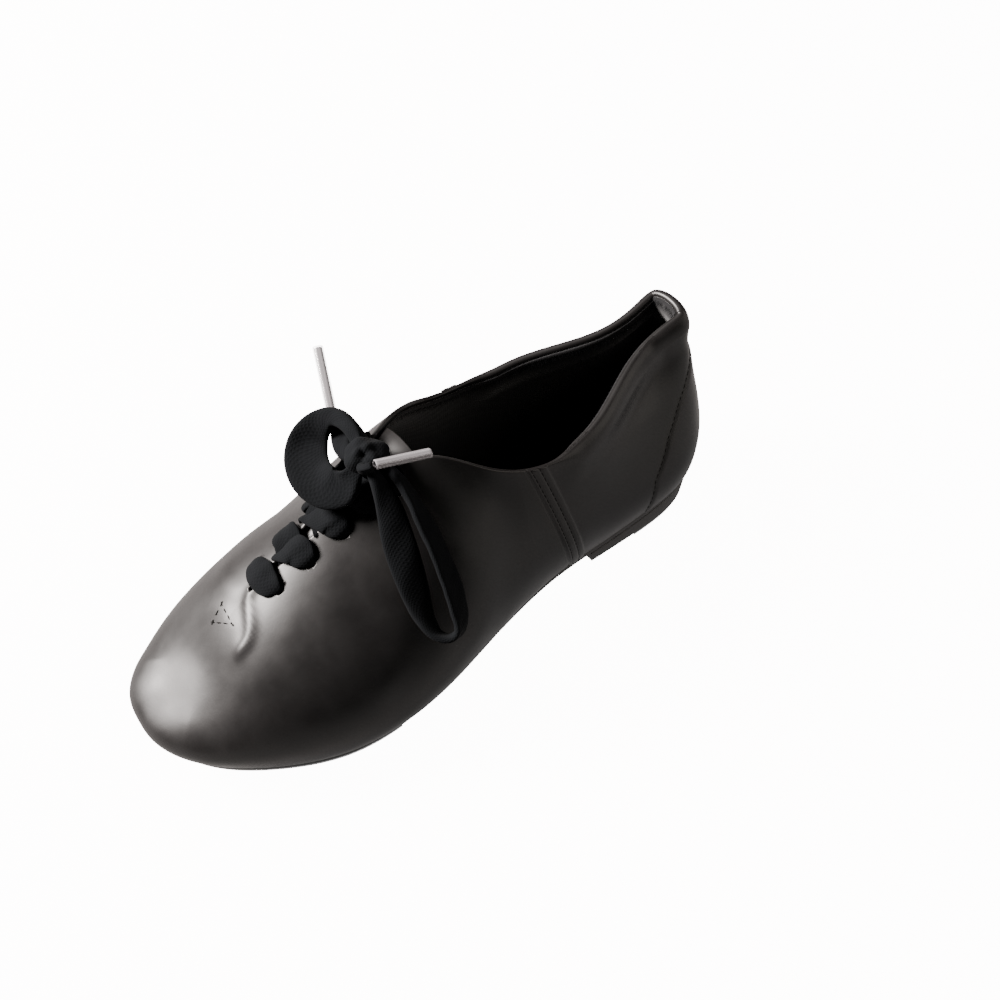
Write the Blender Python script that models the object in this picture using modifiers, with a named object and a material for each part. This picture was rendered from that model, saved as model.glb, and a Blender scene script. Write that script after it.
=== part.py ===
"""Left tap shoe: a low black leather oxford on a thin sole, with a toe plate and a heel plate of metal.

The shoe is first laid out on its last: x runs from the heel's back to the toe tip, +y is the outer
(lateral) side and z is the height above the floor. At the end everything moves so that the origin is
the middle of the shoe's bounding box, on the floor.
"""

from collections import namedtuple

import bmesh
import bpy
import numpy as np
from mathutils import Matrix, Vector

# The last, in metres
LAST_LENGTH = 0.244
BALL_WIDTH = 0.0855
HEEL_WIDTH = 0.0617
COLLAR_WIDTH = 0.0562
BACK_HEIGHT = 0.0705
SIDE_HEIGHT = 0.0590
CORNER_HEIGHT = 0.0832
THROAT_HEIGHT = 0.0495
TOE_HEIGHT = 0.0222
THROAT_SWING = -0.0050
TOE_SWING = -0.0040
TOE_SPRING = 0.0062

# The bottom, in metres
TAP = 0.0027
SOLE = 0.0034
HEEL_BLOCK = 0.0113
GAP = 0.0003
SOLE_INSET = 0.0005
HEEL_TAPER = 0.0015
BREAST = 0.0704
INSOLE = 0.0024
INSOLE_INSET = 0.0030
TAP_INSET = 0.0016
TOE_TAP_LENGTH = 0.0760
HEEL_TAP_LENGTH = 0.0480
SCREW_HEAD = 0.0026
SCREW_RECESS = 0.0005
SCREW_MARGIN = 0.0100
TOE_SCREW_MARGIN = 0.0200
TOE_SCREW_SPREAD = 0.0500
HEEL_SCREW_SPREAD = 0.0380

# The upper, in metres
WALL = 0.0018
PAD = 0.0028
PAD_SWELL = 0.0012
PAD_BAND = 0.0110
PAD_FLAT = 0.0060
SEAM_STRIP = 0.0070
SEAM_RAISE = 0.0006
COUNTER_RAISE = 0.0005
EYELET = 0.0020
EYELET_INSET = 0.0075
TONGUE = 0.0016
TONGUE_FLAP = 0.0150
TONGUE_CLEAR = 0.0007

# The laces, in metres
LACE_WIDTH = 0.0105
STRAP_WIDTH = 0.0095
LACE = 0.0013
LACE_CLEAR = 0.0005
AGLET = 0.0017

# How high a bridge over the throat rises, as a share of the gap that it crosses
TONGUE_ARCH = 0.10
STRAP_ARCH = 0.04

SEAT_HEIGHT = TAP + GAP + HEEL_BLOCK + GAP + SOLE
FORE_HEIGHT = TAP + GAP + SOLE

Row = namedtuple(
    "Row",
    "along ball lateral medial top edge_lateral edge_medial height "
    "low_lateral low_medial high_lateral high_medial pull_low pull_high",
)
# One row for each section, from the heel's back to the toe tip. along and top are shares of
# LAST_LENGTH. lateral and medial are shares of HEEL_WIDTH where ball is 0 and of BALL_WIDTH where it
# is 1. The edge columns are shares of COLLAR_WIDTH. height runs through the five named heights,
# 0 at the back, 1 at the side, 2 at the facing's corner, 3 at the throat and 4 at the toe. The low
# and high angles, in degrees, are the wall's slope at the sole and at its upper end, and the pulls
# are the lengths of its two handles as shares of its chord.
ROWS = [
    Row(0.000, 0, 0.000, 0.000, 0.011, 0.000, 0.000, 0.00, 70, 70, 100, 100, 0.40, 0.30),
    Row(0.017, 0, 0.250, 0.250, 0.022, 0.190, 0.160, 0.08, 70, 70, 100, 100, 0.40, 0.30),
    Row(0.064, 0, 0.432, 0.432, 0.058, 0.217, 0.176, 0.25, 70, 70, 100, 100, 0.40, 0.30),
    Row(0.139, 0, 0.500, 0.500, 0.135, 0.256, 0.220, 0.64, 68, 68, 98, 98, 0.40, 0.30),
    Row(0.246, 0, 0.506, 0.474, 0.242, 0.455, 0.440, 0.92, 65, 65, 95, 95, 0.40, 0.30),
    Row(0.361, 1, 0.369, 0.311, 0.348, 0.500, 0.500, 1.00, 60, 62, 85, 85, 0.40, 0.30),
    Row(0.475, 1, 0.406, 0.338, 0.441, 0.407, 0.407, 1.48, 55, 65, 70, 70, 0.40, 0.30),
    Row(0.582, 1, 0.466, 0.420, 0.521, 0.212, 0.196, 2.00, 50, 65, 45, 45, 0.40, 0.35),
    Row(0.689, 1, 0.511, 0.489, 0.633, 0.090, 0.070, 2.34, 48, 60, 25, 30, 0.40, 0.40),
    Row(0.787, 1, 0.485, 0.496, 0.787, 0.000, 0.000, 3.00, 50, 55, 0, 0, 0.40, 0.45),
    Row(0.877, 1, 0.375, 0.452, 0.852, 0.000, 0.000, 3.40, 52, 55, 0, 0, 0.42, 0.50),
    Row(0.951, 1, 0.225, 0.354, 0.891, 0.000, 0.000, 3.79, 55, 55, 0, 0, 0.45, 0.55),
    Row(0.992, 1, 0.053, 0.236, 0.912, 0.000, 0.000, 3.96, 55, 55, 0, 0, 0.45, 0.55),
    Row(1.000, 1, -0.097, 0.097, 0.918, 0.000, 0.000, 4.00, 55, 55, 0, 0, 0.45, 0.55),
]
LAST_ROW = len(ROWS) - 1
THROAT_ROW = 9
# The row from which the sections fan out round the toe
TOE_FAN_ROW = 11.3

# Shares of LAST_LENGTH: where the vamp's own curve begins and where it is whole, and where the ridge
# leaves the middle line, reaches THROAT_SWING and reaches TOE_SWING
VAMP_START = 0.450
VAMP_WHOLE = 0.655
RIDGE_START = 0.410
RIDGE_THROAT = 0.787
RIDGE_TOE = 0.910

Foot = namedtuple("Foot", "along heel spring")
# The curve on which the upper meets the sole: heel is the share of the rise from the forefoot to the
# heel seat, and spring is the share of TOE_SPRING.
FEET = [
    Foot(-0.082, 1.03, 0.0),
    Foot(0.000, 1.00, 0.0),
    Foot(0.123, 0.90, 0.0),
    Foot(0.254, 0.70, 0.0),
    Foot(0.369, 0.60, 0.0),
    Foot(0.471, 0.30, 0.0),
    Foot(0.574, 0.08, 0.0),
    Foot(0.676, 0.00, 0.0),
    Foot(0.779, 0.00, 0.0),
    Foot(0.881, 0.00, 0.3),
    Foot(1.000, 0.00, 1.0),
    Foot(1.082, 0.00, 1.5),
]

Edge = namedtuple("Edge", "rise row")
# The forward edge of the heel counter, from the sole up: rise is the share of the wall's height, and
# row is the place among the sections.
COUNTER_EDGE = [Edge(0.02, 3.35), Edge(0.26, 3.20), Edge(0.42, 2.75), Edge(0.53, 2.25),
                Edge(0.63, 1.60), Edge(0.72, 1.00), Edge(0.80, 0.45)]
# Places among the sections: the side seam, the stretch in which the padding fades out in front of it,
# the tongue's rear end, its last station under the facings and its front end, and the eyelets
SEAM_FOOT_ROW = 4.65
SEAM_RIM_ROW = 5.30
PAD_FADE_ROW = 4.40
PAD_END_ROW = 5.10
TONGUE_REAR_ROW = 7.08
TONGUE_FACING_ROW = 8.80
TONGUE_FRONT_ROW = 9.40
EYELET_ROWS = [8.80, 8.45, 8.10, 7.78, 7.46]
# How far each strap's middle lies toward the toe from its eyelets, in rows
BAR_DIP = 0.05
CROSSING_DIP = 0.10
# The seam strip's lower and upper ends, as rises
SEAM_LOW = 0.02
SEAM_HIGH = 0.985

Stop = namedtuple("Stop", "along out up width_along width_out width_up share")
# The routes of the bow, in millimetres on the last. Each stop has the direction of the lace's width
# and the share of its full width.
INNER_LOOP = [
    Stop(141.3, -5.6, 95.7, -0.8, -0.1, 0.6, 0.6),
    Stop(141.1, -10.6, 97.0, -0.8, -0.2, 0.5, 0.7),
    Stop(142.0, -17.1, 97.0, -0.6, -0.5, 0.7, 0.8),
    Stop(145.8, -20.7, 95.3, -0.2, -0.8, 0.6, 0.95),
    Stop(151.6, -20.4, 92.6, 0.3, -0.8, 0.5, 1.1),
    Stop(157.0, -15.6, 89.9, 0.8, -0.6, 0.1, 1.2),
    Stop(159.4, -8.4, 87.5, 0.9, -0.1, -0.3, 1.3),
    Stop(157.8, -1.4, 86.4, 0.7, 0.4, -0.6, 1.2),
    Stop(153.6, 2.6, 87.6, 0.2, 0.8, -0.6, 0.95),
    Stop(149.6, 3.4, 90.9, -0.2, 0.8, -0.5, 0.6),
]
OUTER_LOOP = [
    Stop(144.8, 8.9, 93.0, 0.9, -0.3, 0.4, 0.4),
    Stop(145.5, 16.8, 85.4, 0.9, -0.3, 0.3, 0.8),
    Stop(148.2, 24.9, 77.8, 0.9, -0.4, 0.2, 1.05),
    Stop(150.6, 33.2, 69.8, 0.9, -0.3, 0.2, 1.05),
    Stop(152.6, 41.0, 61.8, 0.9, -0.1, 0.4, 0.9),
    Stop(153.2, 48.4, 55.4, 0.7, 0.2, 0.7, 0.8),
    Stop(150.4, 53.0, 52.8, 0.5, 0.4, 0.8, 0.8),
    Stop(145.8, 53.4, 54.2, 0.6, 0.4, 0.7, 0.85),
    Stop(142.8, 49.0, 59.6, 0.8, 0.3, 0.6, 0.9),
    Stop(140.8, 42.0, 67.4, 0.8, 0.2, 0.6, 0.9),
    Stop(139.4, 33.6, 75.4, 0.8, 0.2, 0.6, 0.9),
    Stop(138.5, 24.0, 83.0, 0.7, 0.2, 0.7, 0.8),
    Stop(138.4, 15.8, 88.8, 0.7, 0.2, 0.7, 0.6),
    Stop(139.0, 9.6, 90.8, 0.7, 0.2, 0.7, 0.4),
]
INNER_END = [
    Stop(146.6, -5.4, 92.0, 0.9, 0.3, -0.2, 0.5),
    Stop(145.4, -11.4, 91.4, 0.9, 0.2, -0.2, 0.6),
    Stop(142.6, -18.0, 91.4, 0.9, 0.4, -0.1, 0.5),
    Stop(141.0, -24.2, 92.2, 0.9, 0.4, -0.1, 0.35),
]
OUTER_END = [
    Stop(148.0, 7.4, 96.0, 0.2, 0.1, 1.0, 0.3),
    Stop(147.7, 9.0, 97.0, 0.2, 0.1, 1.0, 0.3),
    Stop(146.8, 10.2, 97.8, 0.1, 0.2, 1.0, 0.3),
    Stop(145.5, 10.8, 98.2, 0.0, 0.3, 1.0, 0.3),
]
INNER_AGLET = [(140.9, -25.0, 92.4), (132.0, -45.5, 104.5)]
OUTER_AGLET = [(144.3, 10.6, 98.0), (125.0, 13.2, 92.6)]
KNOT_CENTRE = (143.0, 1.6, 94.1)
KNOT_HALF = (7.6, 7.2, 5.2)
MILLIMETRE = 0.001

Corner = namedtuple("Corner", "across through")
# The lace's cross-section, as shares of its width and thickness
LACE_SECTION = [Corner(-0.50, 0.0), Corner(-0.36, 0.5), Corner(0.36, 0.5),
                Corner(0.50, 0.0), Corner(0.36, -0.5), Corner(-0.36, -0.5)]

COLORS = {
    "leather": (0.012, 0.011, 0.011, 1.0),
    "textile": (0.008, 0.008, 0.009, 1.0),
    "cotton": (0.015, 0.016, 0.018, 1.0),
    "rubber": (0.010, 0.009, 0.009, 1.0),
    "aluminium": (0.62, 0.62, 0.64, 1.0),
    "clear": (0.45, 0.45, 0.46, 1.0),
}


def spline(values, at, closed=False):
    """A smooth cubic through values given at 0, 1, 2 ..., read at the places in at."""
    values = np.asarray(values, float)
    at = np.asarray(at, float)
    count = len(values)
    matrix = np.zeros((count, count))
    right = np.zeros(count)
    for i in range(count):
        before, after = (i - 1) % count, (i + 1) % count
        if closed or 0 < i < count - 1:
            matrix[i, before] = 1
            matrix[i, i] = 4
            matrix[i, after] = 1
            right[i] = 3 * (values[after] - values[before])
    if not closed:
        matrix[0, 0], matrix[0, 1] = 2, 1
        matrix[-1, -1], matrix[-1, -2] = 2, 1
        right[0] = 3 * (values[1] - values[0])
        right[-1] = 3 * (values[-1] - values[-2])
    slope = np.linalg.solve(matrix, right)
    start = np.floor(at).astype(int)
    if closed:
        t = at - start
        start = start % count
        end = (start + 1) % count
    else:
        start = np.clip(start, 0, count - 2)
        end = start + 1
        t = at - start
    return (
        (2 * t**3 - 3 * t**2 + 1) * values[start]
        + (t**3 - 2 * t**2 + t) * slope[start]
        + (3 * t**2 - 2 * t**3) * values[end]
        + (t**3 - t**2) * slope[end]
    )


def foot_height(x):
    """The height of the sole's upper face above the floor at x."""
    along = [foot.along * LAST_LENGTH for foot in FEET]
    rise = SEAT_HEIGHT - FORE_HEIGHT
    heights = [FORE_HEIGHT + foot.heel * rise + foot.spring * TOE_SPRING for foot in FEET]
    return np.maximum(spline(heights, np.interp(x, along, np.arange(len(FEET)))), FORE_HEIGHT)


def around(lateral, medial):
    """A closed column: the lateral values from heel to toe and the medial ones back."""
    return np.concatenate([lateral, np.asarray(medial)[-2:0:-1]])


def column(name):
    return np.array([getattr(row, name) for row in ROWS], float)


def outline(rows):
    """The last's bottom outline at the given rows, and its outward directions."""
    width = np.where(column("ball") > 0, BALL_WIDTH, HEEL_WIDTH)
    x = around(column("along") * LAST_LENGTH, column("along") * LAST_LENGTH)
    y = around(column("lateral") * width, -column("medial") * width)
    step = 0.001
    points = np.stack([spline(x, rows, True), spline(y, rows, True)], axis=1)
    ahead = np.stack([spline(x, rows + step, True), spline(y, rows + step, True)], axis=1)
    behind = np.stack([spline(x, rows - step, True), spline(y, rows - step, True)], axis=1)
    run = ahead - behind
    outward = np.stack([-run[:, 1], run[:, 0]], axis=1)
    return points, outward / np.linalg.norm(outward, axis=1)[:, None]


def top_line(rows):
    """The upper end of the wall at the given rows: the rim, the facings and the vamp's ridge.

    The edge's distance from the middle line has a sign, outer side above 0, so that the rim passes
    the heel's back as one round curve.
    """
    heights = [BACK_HEIGHT, SIDE_HEIGHT, CORNER_HEIGHT, THROAT_HEIGHT, TOE_HEIGHT]
    base = foot_height(column("along") * LAST_LENGTH)
    up = base + np.interp(column("height"), range(5), heights)
    along = column("top") * LAST_LENGTH
    x = spline(around(along, along), rows, True)
    z = spline(around(up, up), rows, True)
    edge = around(column("edge_lateral"), -column("edge_medial")) * COLLAR_WIDTH
    from_toe = np.minimum(rows, 2 * LAST_ROW - rows)
    beside = np.where(from_toe >= THROAT_ROW - 1e-6, 0.0, spline(edge, rows, True))
    stops = np.array([RIDGE_START, RIDGE_THROAT, RIDGE_TOE]) * LAST_LENGTH
    ridge = np.interp(x, stops, [0.0, THROAT_SWING, TOE_SWING])
    return np.stack([x, beside + ridge, z], axis=1)


def ridge_slope(x):
    """How steeply the wall's upper end climbs at x.

    It is held even from TOE_FAN_ROW on, where the sections fan out round the toe, because a slope
    that changes there leaves a groove along the last section.
    """
    rows = np.linspace(0, LAST_ROW, 261)
    line = top_line(rows)
    slope = np.gradient(line[:, 2], line[:, 0] + rows * 1e-6)
    fan_start = top_line(np.array([TOE_FAN_ROW]))[0, 0]
    return np.interp(np.minimum(x, fan_start), line[:, 0], slope)


def bare_wall(rows, rises):
    """Points of the last's own surface, for each row and each rise from 0 at the sole to 1."""
    flat, outward = outline(rows)
    foot = np.column_stack([flat, foot_height(flat[:, 0])])
    top = top_line(rows)
    low = np.radians(spline(around(column("low_lateral"), column("low_medial")), rows, True))
    high = np.radians(spline(around(column("high_lateral"), column("high_medial")), rows, True))
    pull_low = spline(around(column("pull_low"), column("pull_low")), rows, True)
    pull_high = spline(around(column("pull_high"), column("pull_high")), rows, True)
    across = top[:, :2] - foot[:, :2]
    across /= np.maximum(np.linalg.norm(across, axis=1), 1e-9)[:, None]
    chord = np.linalg.norm(top - foot, axis=1)
    vamp = np.clip((top[:, 0] / LAST_LENGTH - VAMP_START) / (VAMP_WHOLE - VAMP_START), 0, 1)
    inward = -outward * (1 - vamp)[:, None] + across * vamp[:, None]
    inward /= np.linalg.norm(inward, axis=1)[:, None]
    climb = inward[:, 0] * ridge_slope(top[:, 0]) * vamp
    leave = np.column_stack([outward * np.cos(low)[:, None], np.sin(low)])
    arrive = np.column_stack([inward * np.cos(high)[:, None], np.sin(high) + climb * np.cos(high)])
    first = (foot + leave * (pull_low * chord)[:, None])[:, None]
    second = (top - arrive * (pull_high * chord)[:, None])[:, None]
    v = np.asarray(rises, float)[None, :, None]
    foot, top = foot[:, None], top[:, None]
    return (1 - v) ** 3 * foot + 3 * (1 - v) ** 2 * v * first + 3 * (1 - v) * v**2 * second + v**3 * top


def wall_normals(rows, rises):
    """Outward directions of the last's surface."""
    step = 0.004
    rises = np.clip(np.asarray(rises, float), step, 1 - step)
    inside = np.clip(rows, 0, 2 * LAST_ROW)
    along = bare_wall((inside + step) % (2 * LAST_ROW), rises)
    along -= bare_wall((inside - step) % (2 * LAST_ROW), rises)
    up = bare_wall(rows, rises + step) - bare_wall(rows, rises - step)
    normal = np.cross(up, along)
    length = np.linalg.norm(normal, axis=2)
    return normal / np.maximum(length, 1e-12)[:, :, None]


def smooth_step(x):
    x = np.clip(x, 0, 1)
    return x * x * (3 - 2 * x)


def padding(rows, rises):
    """How much of the collar's padding each place has: 1 on the rim behind the side seams."""
    from_toe = np.minimum(rows, 2 * LAST_ROW - rows)
    behind = 1 - smooth_step((from_toe - PAD_FADE_ROW) / (PAD_END_ROW - PAD_FADE_ROW))
    length = np.linalg.norm(bare_wall(rows, [1.0]) - bare_wall(rows, [0.0]), axis=2)
    below_rim = (1 - np.asarray(rises, float))[None, :] * length
    band = 1 - smooth_step((below_rim - PAD_FLAT) / (PAD_BAND - PAD_FLAT))
    return behind[:, None] * band


def wall(rows, rises, lift=0.0):
    """The upper's outer face, raised by lift along its own direction."""
    rows = np.asarray(rows, float)
    out = PAD_SWELL * padding(rows, rises) + lift
    return bare_wall(rows, rises) + wall_normals(rows, rises) * out[:, :, None]


def rise_below_edge(row, distance):
    """The rise of the place that lies distance below the wall's upper end."""
    line = bare_wall(np.array([row]), np.linspace(0, 1, 101))[0]
    run = np.concatenate([[0], np.cumsum(np.linalg.norm(np.diff(line, axis=0), axis=1))])
    return float(np.interp(run[-1] - distance, run, np.linspace(0, 1, 101)))


def material(name, roughness, metallic=0.0, alpha=1.0):
    made = bpy.data.materials.new(name)
    made.use_nodes = True
    shader = made.node_tree.nodes["Principled BSDF"]
    shader.inputs["Base Color"].default_value = COLORS[name]
    shader.inputs["Roughness"].default_value = roughness
    shader.inputs["Metallic"].default_value = metallic
    shader.inputs["Alpha"].default_value = alpha
    return made


def add_object(name, mesh, collection, looks):
    made = bpy.data.objects.new(name, mesh)
    collection.objects.link(made)
    mesh.materials.append(looks)
    mesh.shade_smooth()
    mesh.set_sharp_from_angle(angle=0.7)
    return made


def mesh_of(name, points, faces, weld=0.00002):
    """A mesh with coincident points welded and the faces that collapse left out."""
    made = bmesh.new()
    vertices = [made.verts.new(p) for p in points]
    for face in faces:
        made.faces.new([vertices[i] for i in face])
    bmesh.ops.remove_doubles(made, verts=made.verts, dist=weld)
    bmesh.ops.dissolve_degenerate(made, edges=made.edges, dist=weld / 2)
    mesh = bpy.data.meshes.new(name)
    made.to_mesh(mesh)
    made.free()
    return mesh


def sheet_faces(across, up, closed=False):
    """Quads of a grid of across columns by up points, wound to face out of the shoe."""
    faces = []
    for i in range(across if closed else across - 1):
        after = (i + 1) % across
        for j in range(up - 1):
            faces.append((i * up + j, i * up + j + 1, after * up + j + 1, after * up + j))
    return faces


def patch(name, outer, inner):
    """A closed solid between two grids of the same size, outer and inner."""
    across, up = outer.shape[:2]
    size = across * up
    points = np.concatenate([outer.reshape(-1, 3), inner.reshape(-1, 3)])
    front = sheet_faces(across, up)
    faces = front + [tuple(size + i for i in reversed(face)) for face in front]
    rim = [(i * up, (i + 1) * up) for i in range(across - 1)]
    rim += [((across - 1) * up + j, (across - 1) * up + j + 1) for j in range(up - 1)]
    rim += [((i + 1) * up - 1 + up, (i + 1) * up - 1) for i in range(across - 1)]
    rim += [(j + 1, j) for j in range(up - 1)]
    faces += [(a, b, b + size, a + size) for a, b in rim]
    return mesh_of(name, points, faces)


def join(body, tool, operation, collection_of_cutters):
    """Adds a Boolean modifier to body and puts tool among the cutters."""
    for collection in tool.users_collection:
        collection.objects.unlink(tool)
    collection_of_cutters.objects.link(tool)
    tool.hide_render = True
    tool.display_type = "WIRE"
    modifier = body.modifiers.new(tool.name, "BOOLEAN")
    modifier.operation = operation
    modifier.solver = "EXACT"
    modifier.object = tool


def build_upper(parts, cutters, looks):
    """The hollow upper: one wall from the sole to the rim, open at the collar and the throat."""
    lateral = np.concatenate([np.linspace(0, 4, 13), np.linspace(4.36, LAST_ROW, 25)])
    rows = around(lateral, 2 * LAST_ROW - lateral)
    rises = np.concatenate([np.linspace(0, 0.86, 9), [0.92, 0.965, 1.0]])
    points = wall(rows, rises)
    points[:, 0, 2] += GAP
    mesh = mesh_of("upper", points.reshape(-1, 3), sheet_faces(len(rows), len(rises), closed=True))
    upper = add_object("upper", mesh, parts, looks)
    thickness = upper.vertex_groups.new(name="thickness")
    full = WALL + PAD + PAD_SWELL
    weights = (WALL + (PAD + PAD_SWELL) * padding(rows, rises)).reshape(-1) / full
    places = points.reshape(-1, 3)
    for vertex in mesh.vertices:
        nearest = int(np.argmin(((places - np.array(vertex.co)) ** 2).sum(axis=1)))
        thickness.add([vertex.index], float(weights[nearest]), "REPLACE")
    shell = upper.modifiers.new("wall", "SOLIDIFY")
    shell.thickness = full
    shell.offset = -1
    shell.vertex_group = "thickness"
    shell.use_rim = True
    shell.use_quality_normals = True
    for side, tool in (("lateral", 1), ("medial", -1)):
        join(upper, seam_strip(side, tool, parts, looks), "UNION", cutters)
    join(upper, heel_counter(parts, looks), "UNION", cutters)
    for number, row in enumerate(EYELET_ROWS, 1):
        for side in (1, -1):
            join(upper, eyelet_cutter(number, row, side, parts, looks), "DIFFERENCE", cutters)
    return upper


def on_side(row, side):
    return row if side > 0 else 2 * LAST_ROW - row


def raised(rows_at, rises, lift):
    """Grids of a raised strip: its outer face, and an inner one buried in the wall."""
    outer, inner = [], []
    for rise in rises:
        rows = rows_at(rise) % (2 * LAST_ROW)
        outer.append(wall(rows, [rise], lift)[:, 0])
        inner.append(wall(rows, [rise], -WALL / 2)[:, 0])
    return np.stack(outer, axis=1), np.stack(inner, axis=1)


def seam_strip(side, sign, parts, looks):
    """The raised strip over a side seam, between its two rows of stitches."""
    rim_half = SEAM_STRIP / 2 / (LAST_LENGTH * (ROWS[6].top - ROWS[5].top))
    foot_half = SEAM_STRIP / 2 / (LAST_LENGTH * (ROWS[5].along - ROWS[4].along))

    def rows_at(rise):
        centre = SEAM_FOOT_ROW + (SEAM_RIM_ROW - SEAM_FOOT_ROW) * rise
        half = foot_half + (rim_half - foot_half) * rise
        rows = centre + half * np.linspace(-1, 1, 4)
        return rows if sign > 0 else 2 * LAST_ROW - rows[::-1]

    outer, inner = raised(rows_at, np.linspace(SEAM_LOW, SEAM_HIGH, 10), SEAM_RAISE)
    return add_object(f"seam_{side}", patch(f"seam_{side}", outer, inner), parts, looks)


def heel_counter(parts, looks):
    """The heel counter: the wall's step behind a curved seam."""
    rises = [edge.rise for edge in COUNTER_EDGE]
    edges = [edge.row for edge in COUNTER_EDGE]

    def rows_at(rise):
        return np.interp(rise, rises, edges) * np.linspace(-1, 1, 19)

    outer, inner = raised(rows_at, np.linspace(rises[0], rises[-1], 11), COUNTER_RAISE)
    return add_object("counter", patch("counter", outer, inner), parts, looks)


def eyelet_place(row, side):
    """The centre of an eyelet on the wall's outer face, and the wall's direction there."""
    place = np.array([on_side(row, side)])
    rise = [rise_below_edge(place[0], EYELET_INSET)]
    return wall(place, rise)[0, 0], wall_normals(place, rise)[0, 0]


def eyelet_cutter(number, row, side, parts, looks):
    centre, normal = eyelet_place(row, side)
    made = bmesh.new()
    depth = 4 * WALL
    turn = Vector(normal).to_track_quat("Z", "Y").to_matrix().to_4x4()
    bmesh.ops.create_cone(
        made, cap_ends=True, segments=10, radius1=EYELET, radius2=EYELET, depth=depth,
        matrix=Matrix.Translation(Vector(centre)) @ turn,
    )
    name = f"eyelet_{number}_{'lateral' if side > 0 else 'medial'}"
    mesh = bpy.data.meshes.new(name)
    made.to_mesh(mesh)
    made.free()
    return add_object(name, mesh, parts, looks)


def slab_rows(first, last, inset, count=34):
    """Lateral and medial edge points of a piece of the bottom, from row first to row last."""
    rows = np.linspace(first, last, count)
    lateral, out_lateral = outline(rows)
    medial, out_medial = outline((2 * LAST_ROW - rows) % (2 * LAST_ROW))
    return np.stack([lateral - out_lateral * inset, medial - out_medial * inset])


def row_at(x):
    return float(np.interp(x, column("along") * LAST_LENGTH, np.arange(len(ROWS))))


def slab(name, upper_edges, lower_edges, upper_height, lower_height, parts, looks):
    """A solid between two outlines, each with its own height as a function of x."""
    count = upper_edges.shape[1]
    points = []
    for edges, height in ((upper_edges, upper_height), (lower_edges, lower_height)):
        for side in edges:
            points.append(np.column_stack([side, height(side[:, 0])]))
    points = np.concatenate(points)
    top_l, top_m, low_l, low_m = (np.arange(count) + k * count for k in range(4))
    faces = [(top_l[0], low_l[0], low_m[0], top_m[0])]
    for i in range(count - 1):
        faces.append((top_l[i], top_m[i], top_m[i + 1], top_l[i + 1]))
        faces.append((low_l[i], low_l[i + 1], low_m[i + 1], low_m[i]))
        faces.append((top_l[i], top_l[i + 1], low_l[i + 1], low_l[i]))
        faces.append((top_m[i], low_m[i], low_m[i + 1], top_m[i + 1]))
    faces.append((top_l[-1], top_m[-1], low_m[-1], low_l[-1]))
    made = add_object(name, mesh_of(name, points, faces), parts, looks)
    return made


def build_bottom(parts, cutters, looks):
    """Insole, outsole, heel, toe plate, heel plate and their screws."""
    whole = slab_rows(0, LAST_ROW, SOLE_INSET, 44)
    inner = slab_rows(0, LAST_ROW, INSOLE_INSET, 44)
    slab("insole", inner, inner, lambda x: foot_height(x) + GAP + INSOLE,
         lambda x: foot_height(x) + GAP, parts, looks["textile"])
    slab("outsole", whole, whole, foot_height, lambda x: foot_height(x) - SOLE, parts, looks["rubber"])
    floor = TAP + GAP
    heel_top = slab_rows(0, row_at(BREAST), SOLE_INSET, 22)
    heel_low = slab_rows(0, row_at(BREAST), HEEL_TAPER + SOLE_INSET, 22)
    heel_low[:, :, 0] -= HEEL_TAPER * heel_low[:, :, 0] / BREAST
    slab("heel", heel_top, heel_low, lambda x: foot_height(x) - SOLE - GAP,
         lambda x: np.full_like(x, floor), parts, looks["rubber"])
    heel_edge = slab_rows(0, row_at(HEEL_TAP_LENGTH), HEEL_TAPER + TAP_INSET, 20)
    heel_tap = slab("heel_tap", heel_edge, heel_edge, lambda x: np.full_like(x, TAP),
                    np.zeros_like, parts, looks["aluminium"])
    toe_start = LAST_LENGTH - TOE_TAP_LENGTH
    toe_edge = slab_rows(row_at(toe_start), LAST_ROW, TAP_INSET, 26)
    toe_tap = slab("toe_tap", toe_edge, toe_edge, lambda x: foot_height(x) - SOLE - GAP,
                   lambda x: foot_height(x) - SOLE - GAP - TAP, parts, looks["aluminium"])
    toe_screws = [(LAST_LENGTH - TOE_SCREW_MARGIN, TOE_SWING),
                  (toe_start + SCREW_MARGIN, TOE_SCREW_SPREAD / 2),
                  (toe_start + SCREW_MARGIN, -TOE_SCREW_SPREAD / 2)]
    heel_screws = [(SCREW_MARGIN, 0.0),
                   (HEEL_TAP_LENGTH - SCREW_MARGIN, HEEL_SCREW_SPREAD / 2),
                   (HEEL_TAP_LENGTH - SCREW_MARGIN, -HEEL_SCREW_SPREAD / 2)]
    for tap, places in ((toe_tap, toe_screws), (heel_tap, heel_screws)):
        for number, (x, y) in enumerate(places, 1):
            lift = float(foot_height(x)) - FORE_HEIGHT if tap is toe_tap else 0.0
            screw(tap, number, x, y, lift, parts, cutters, looks["aluminium"])


def disc(name, radius, low, high, x, y, parts, looks):
    made = bmesh.new()
    place = Matrix.Translation((x, y, (low + high) / 2))
    bmesh.ops.create_cone(made, cap_ends=True, segments=16, radius1=radius, radius2=radius,
                          depth=high - low, matrix=place)
    mesh = bpy.data.meshes.new(name)
    made.to_mesh(mesh)
    made.free()
    return add_object(name, mesh, parts, looks)


def screw(tap, number, x, y, lift, parts, cutters, looks):
    """A flat screw head in a hole of its plate, held a little above the plate's lower face."""
    hole = disc(f"{tap.name}_hole_{number}", SCREW_HEAD + GAP, lift - TAP, lift + 2 * TAP, x, y,
                parts, looks)
    join(tap, hole, "DIFFERENCE", cutters)
    disc(f"{tap.name}_screw_{number}", SCREW_HEAD, lift + SCREW_RECESS, lift + TAP - GAP, x, y,
         parts, looks)


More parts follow.
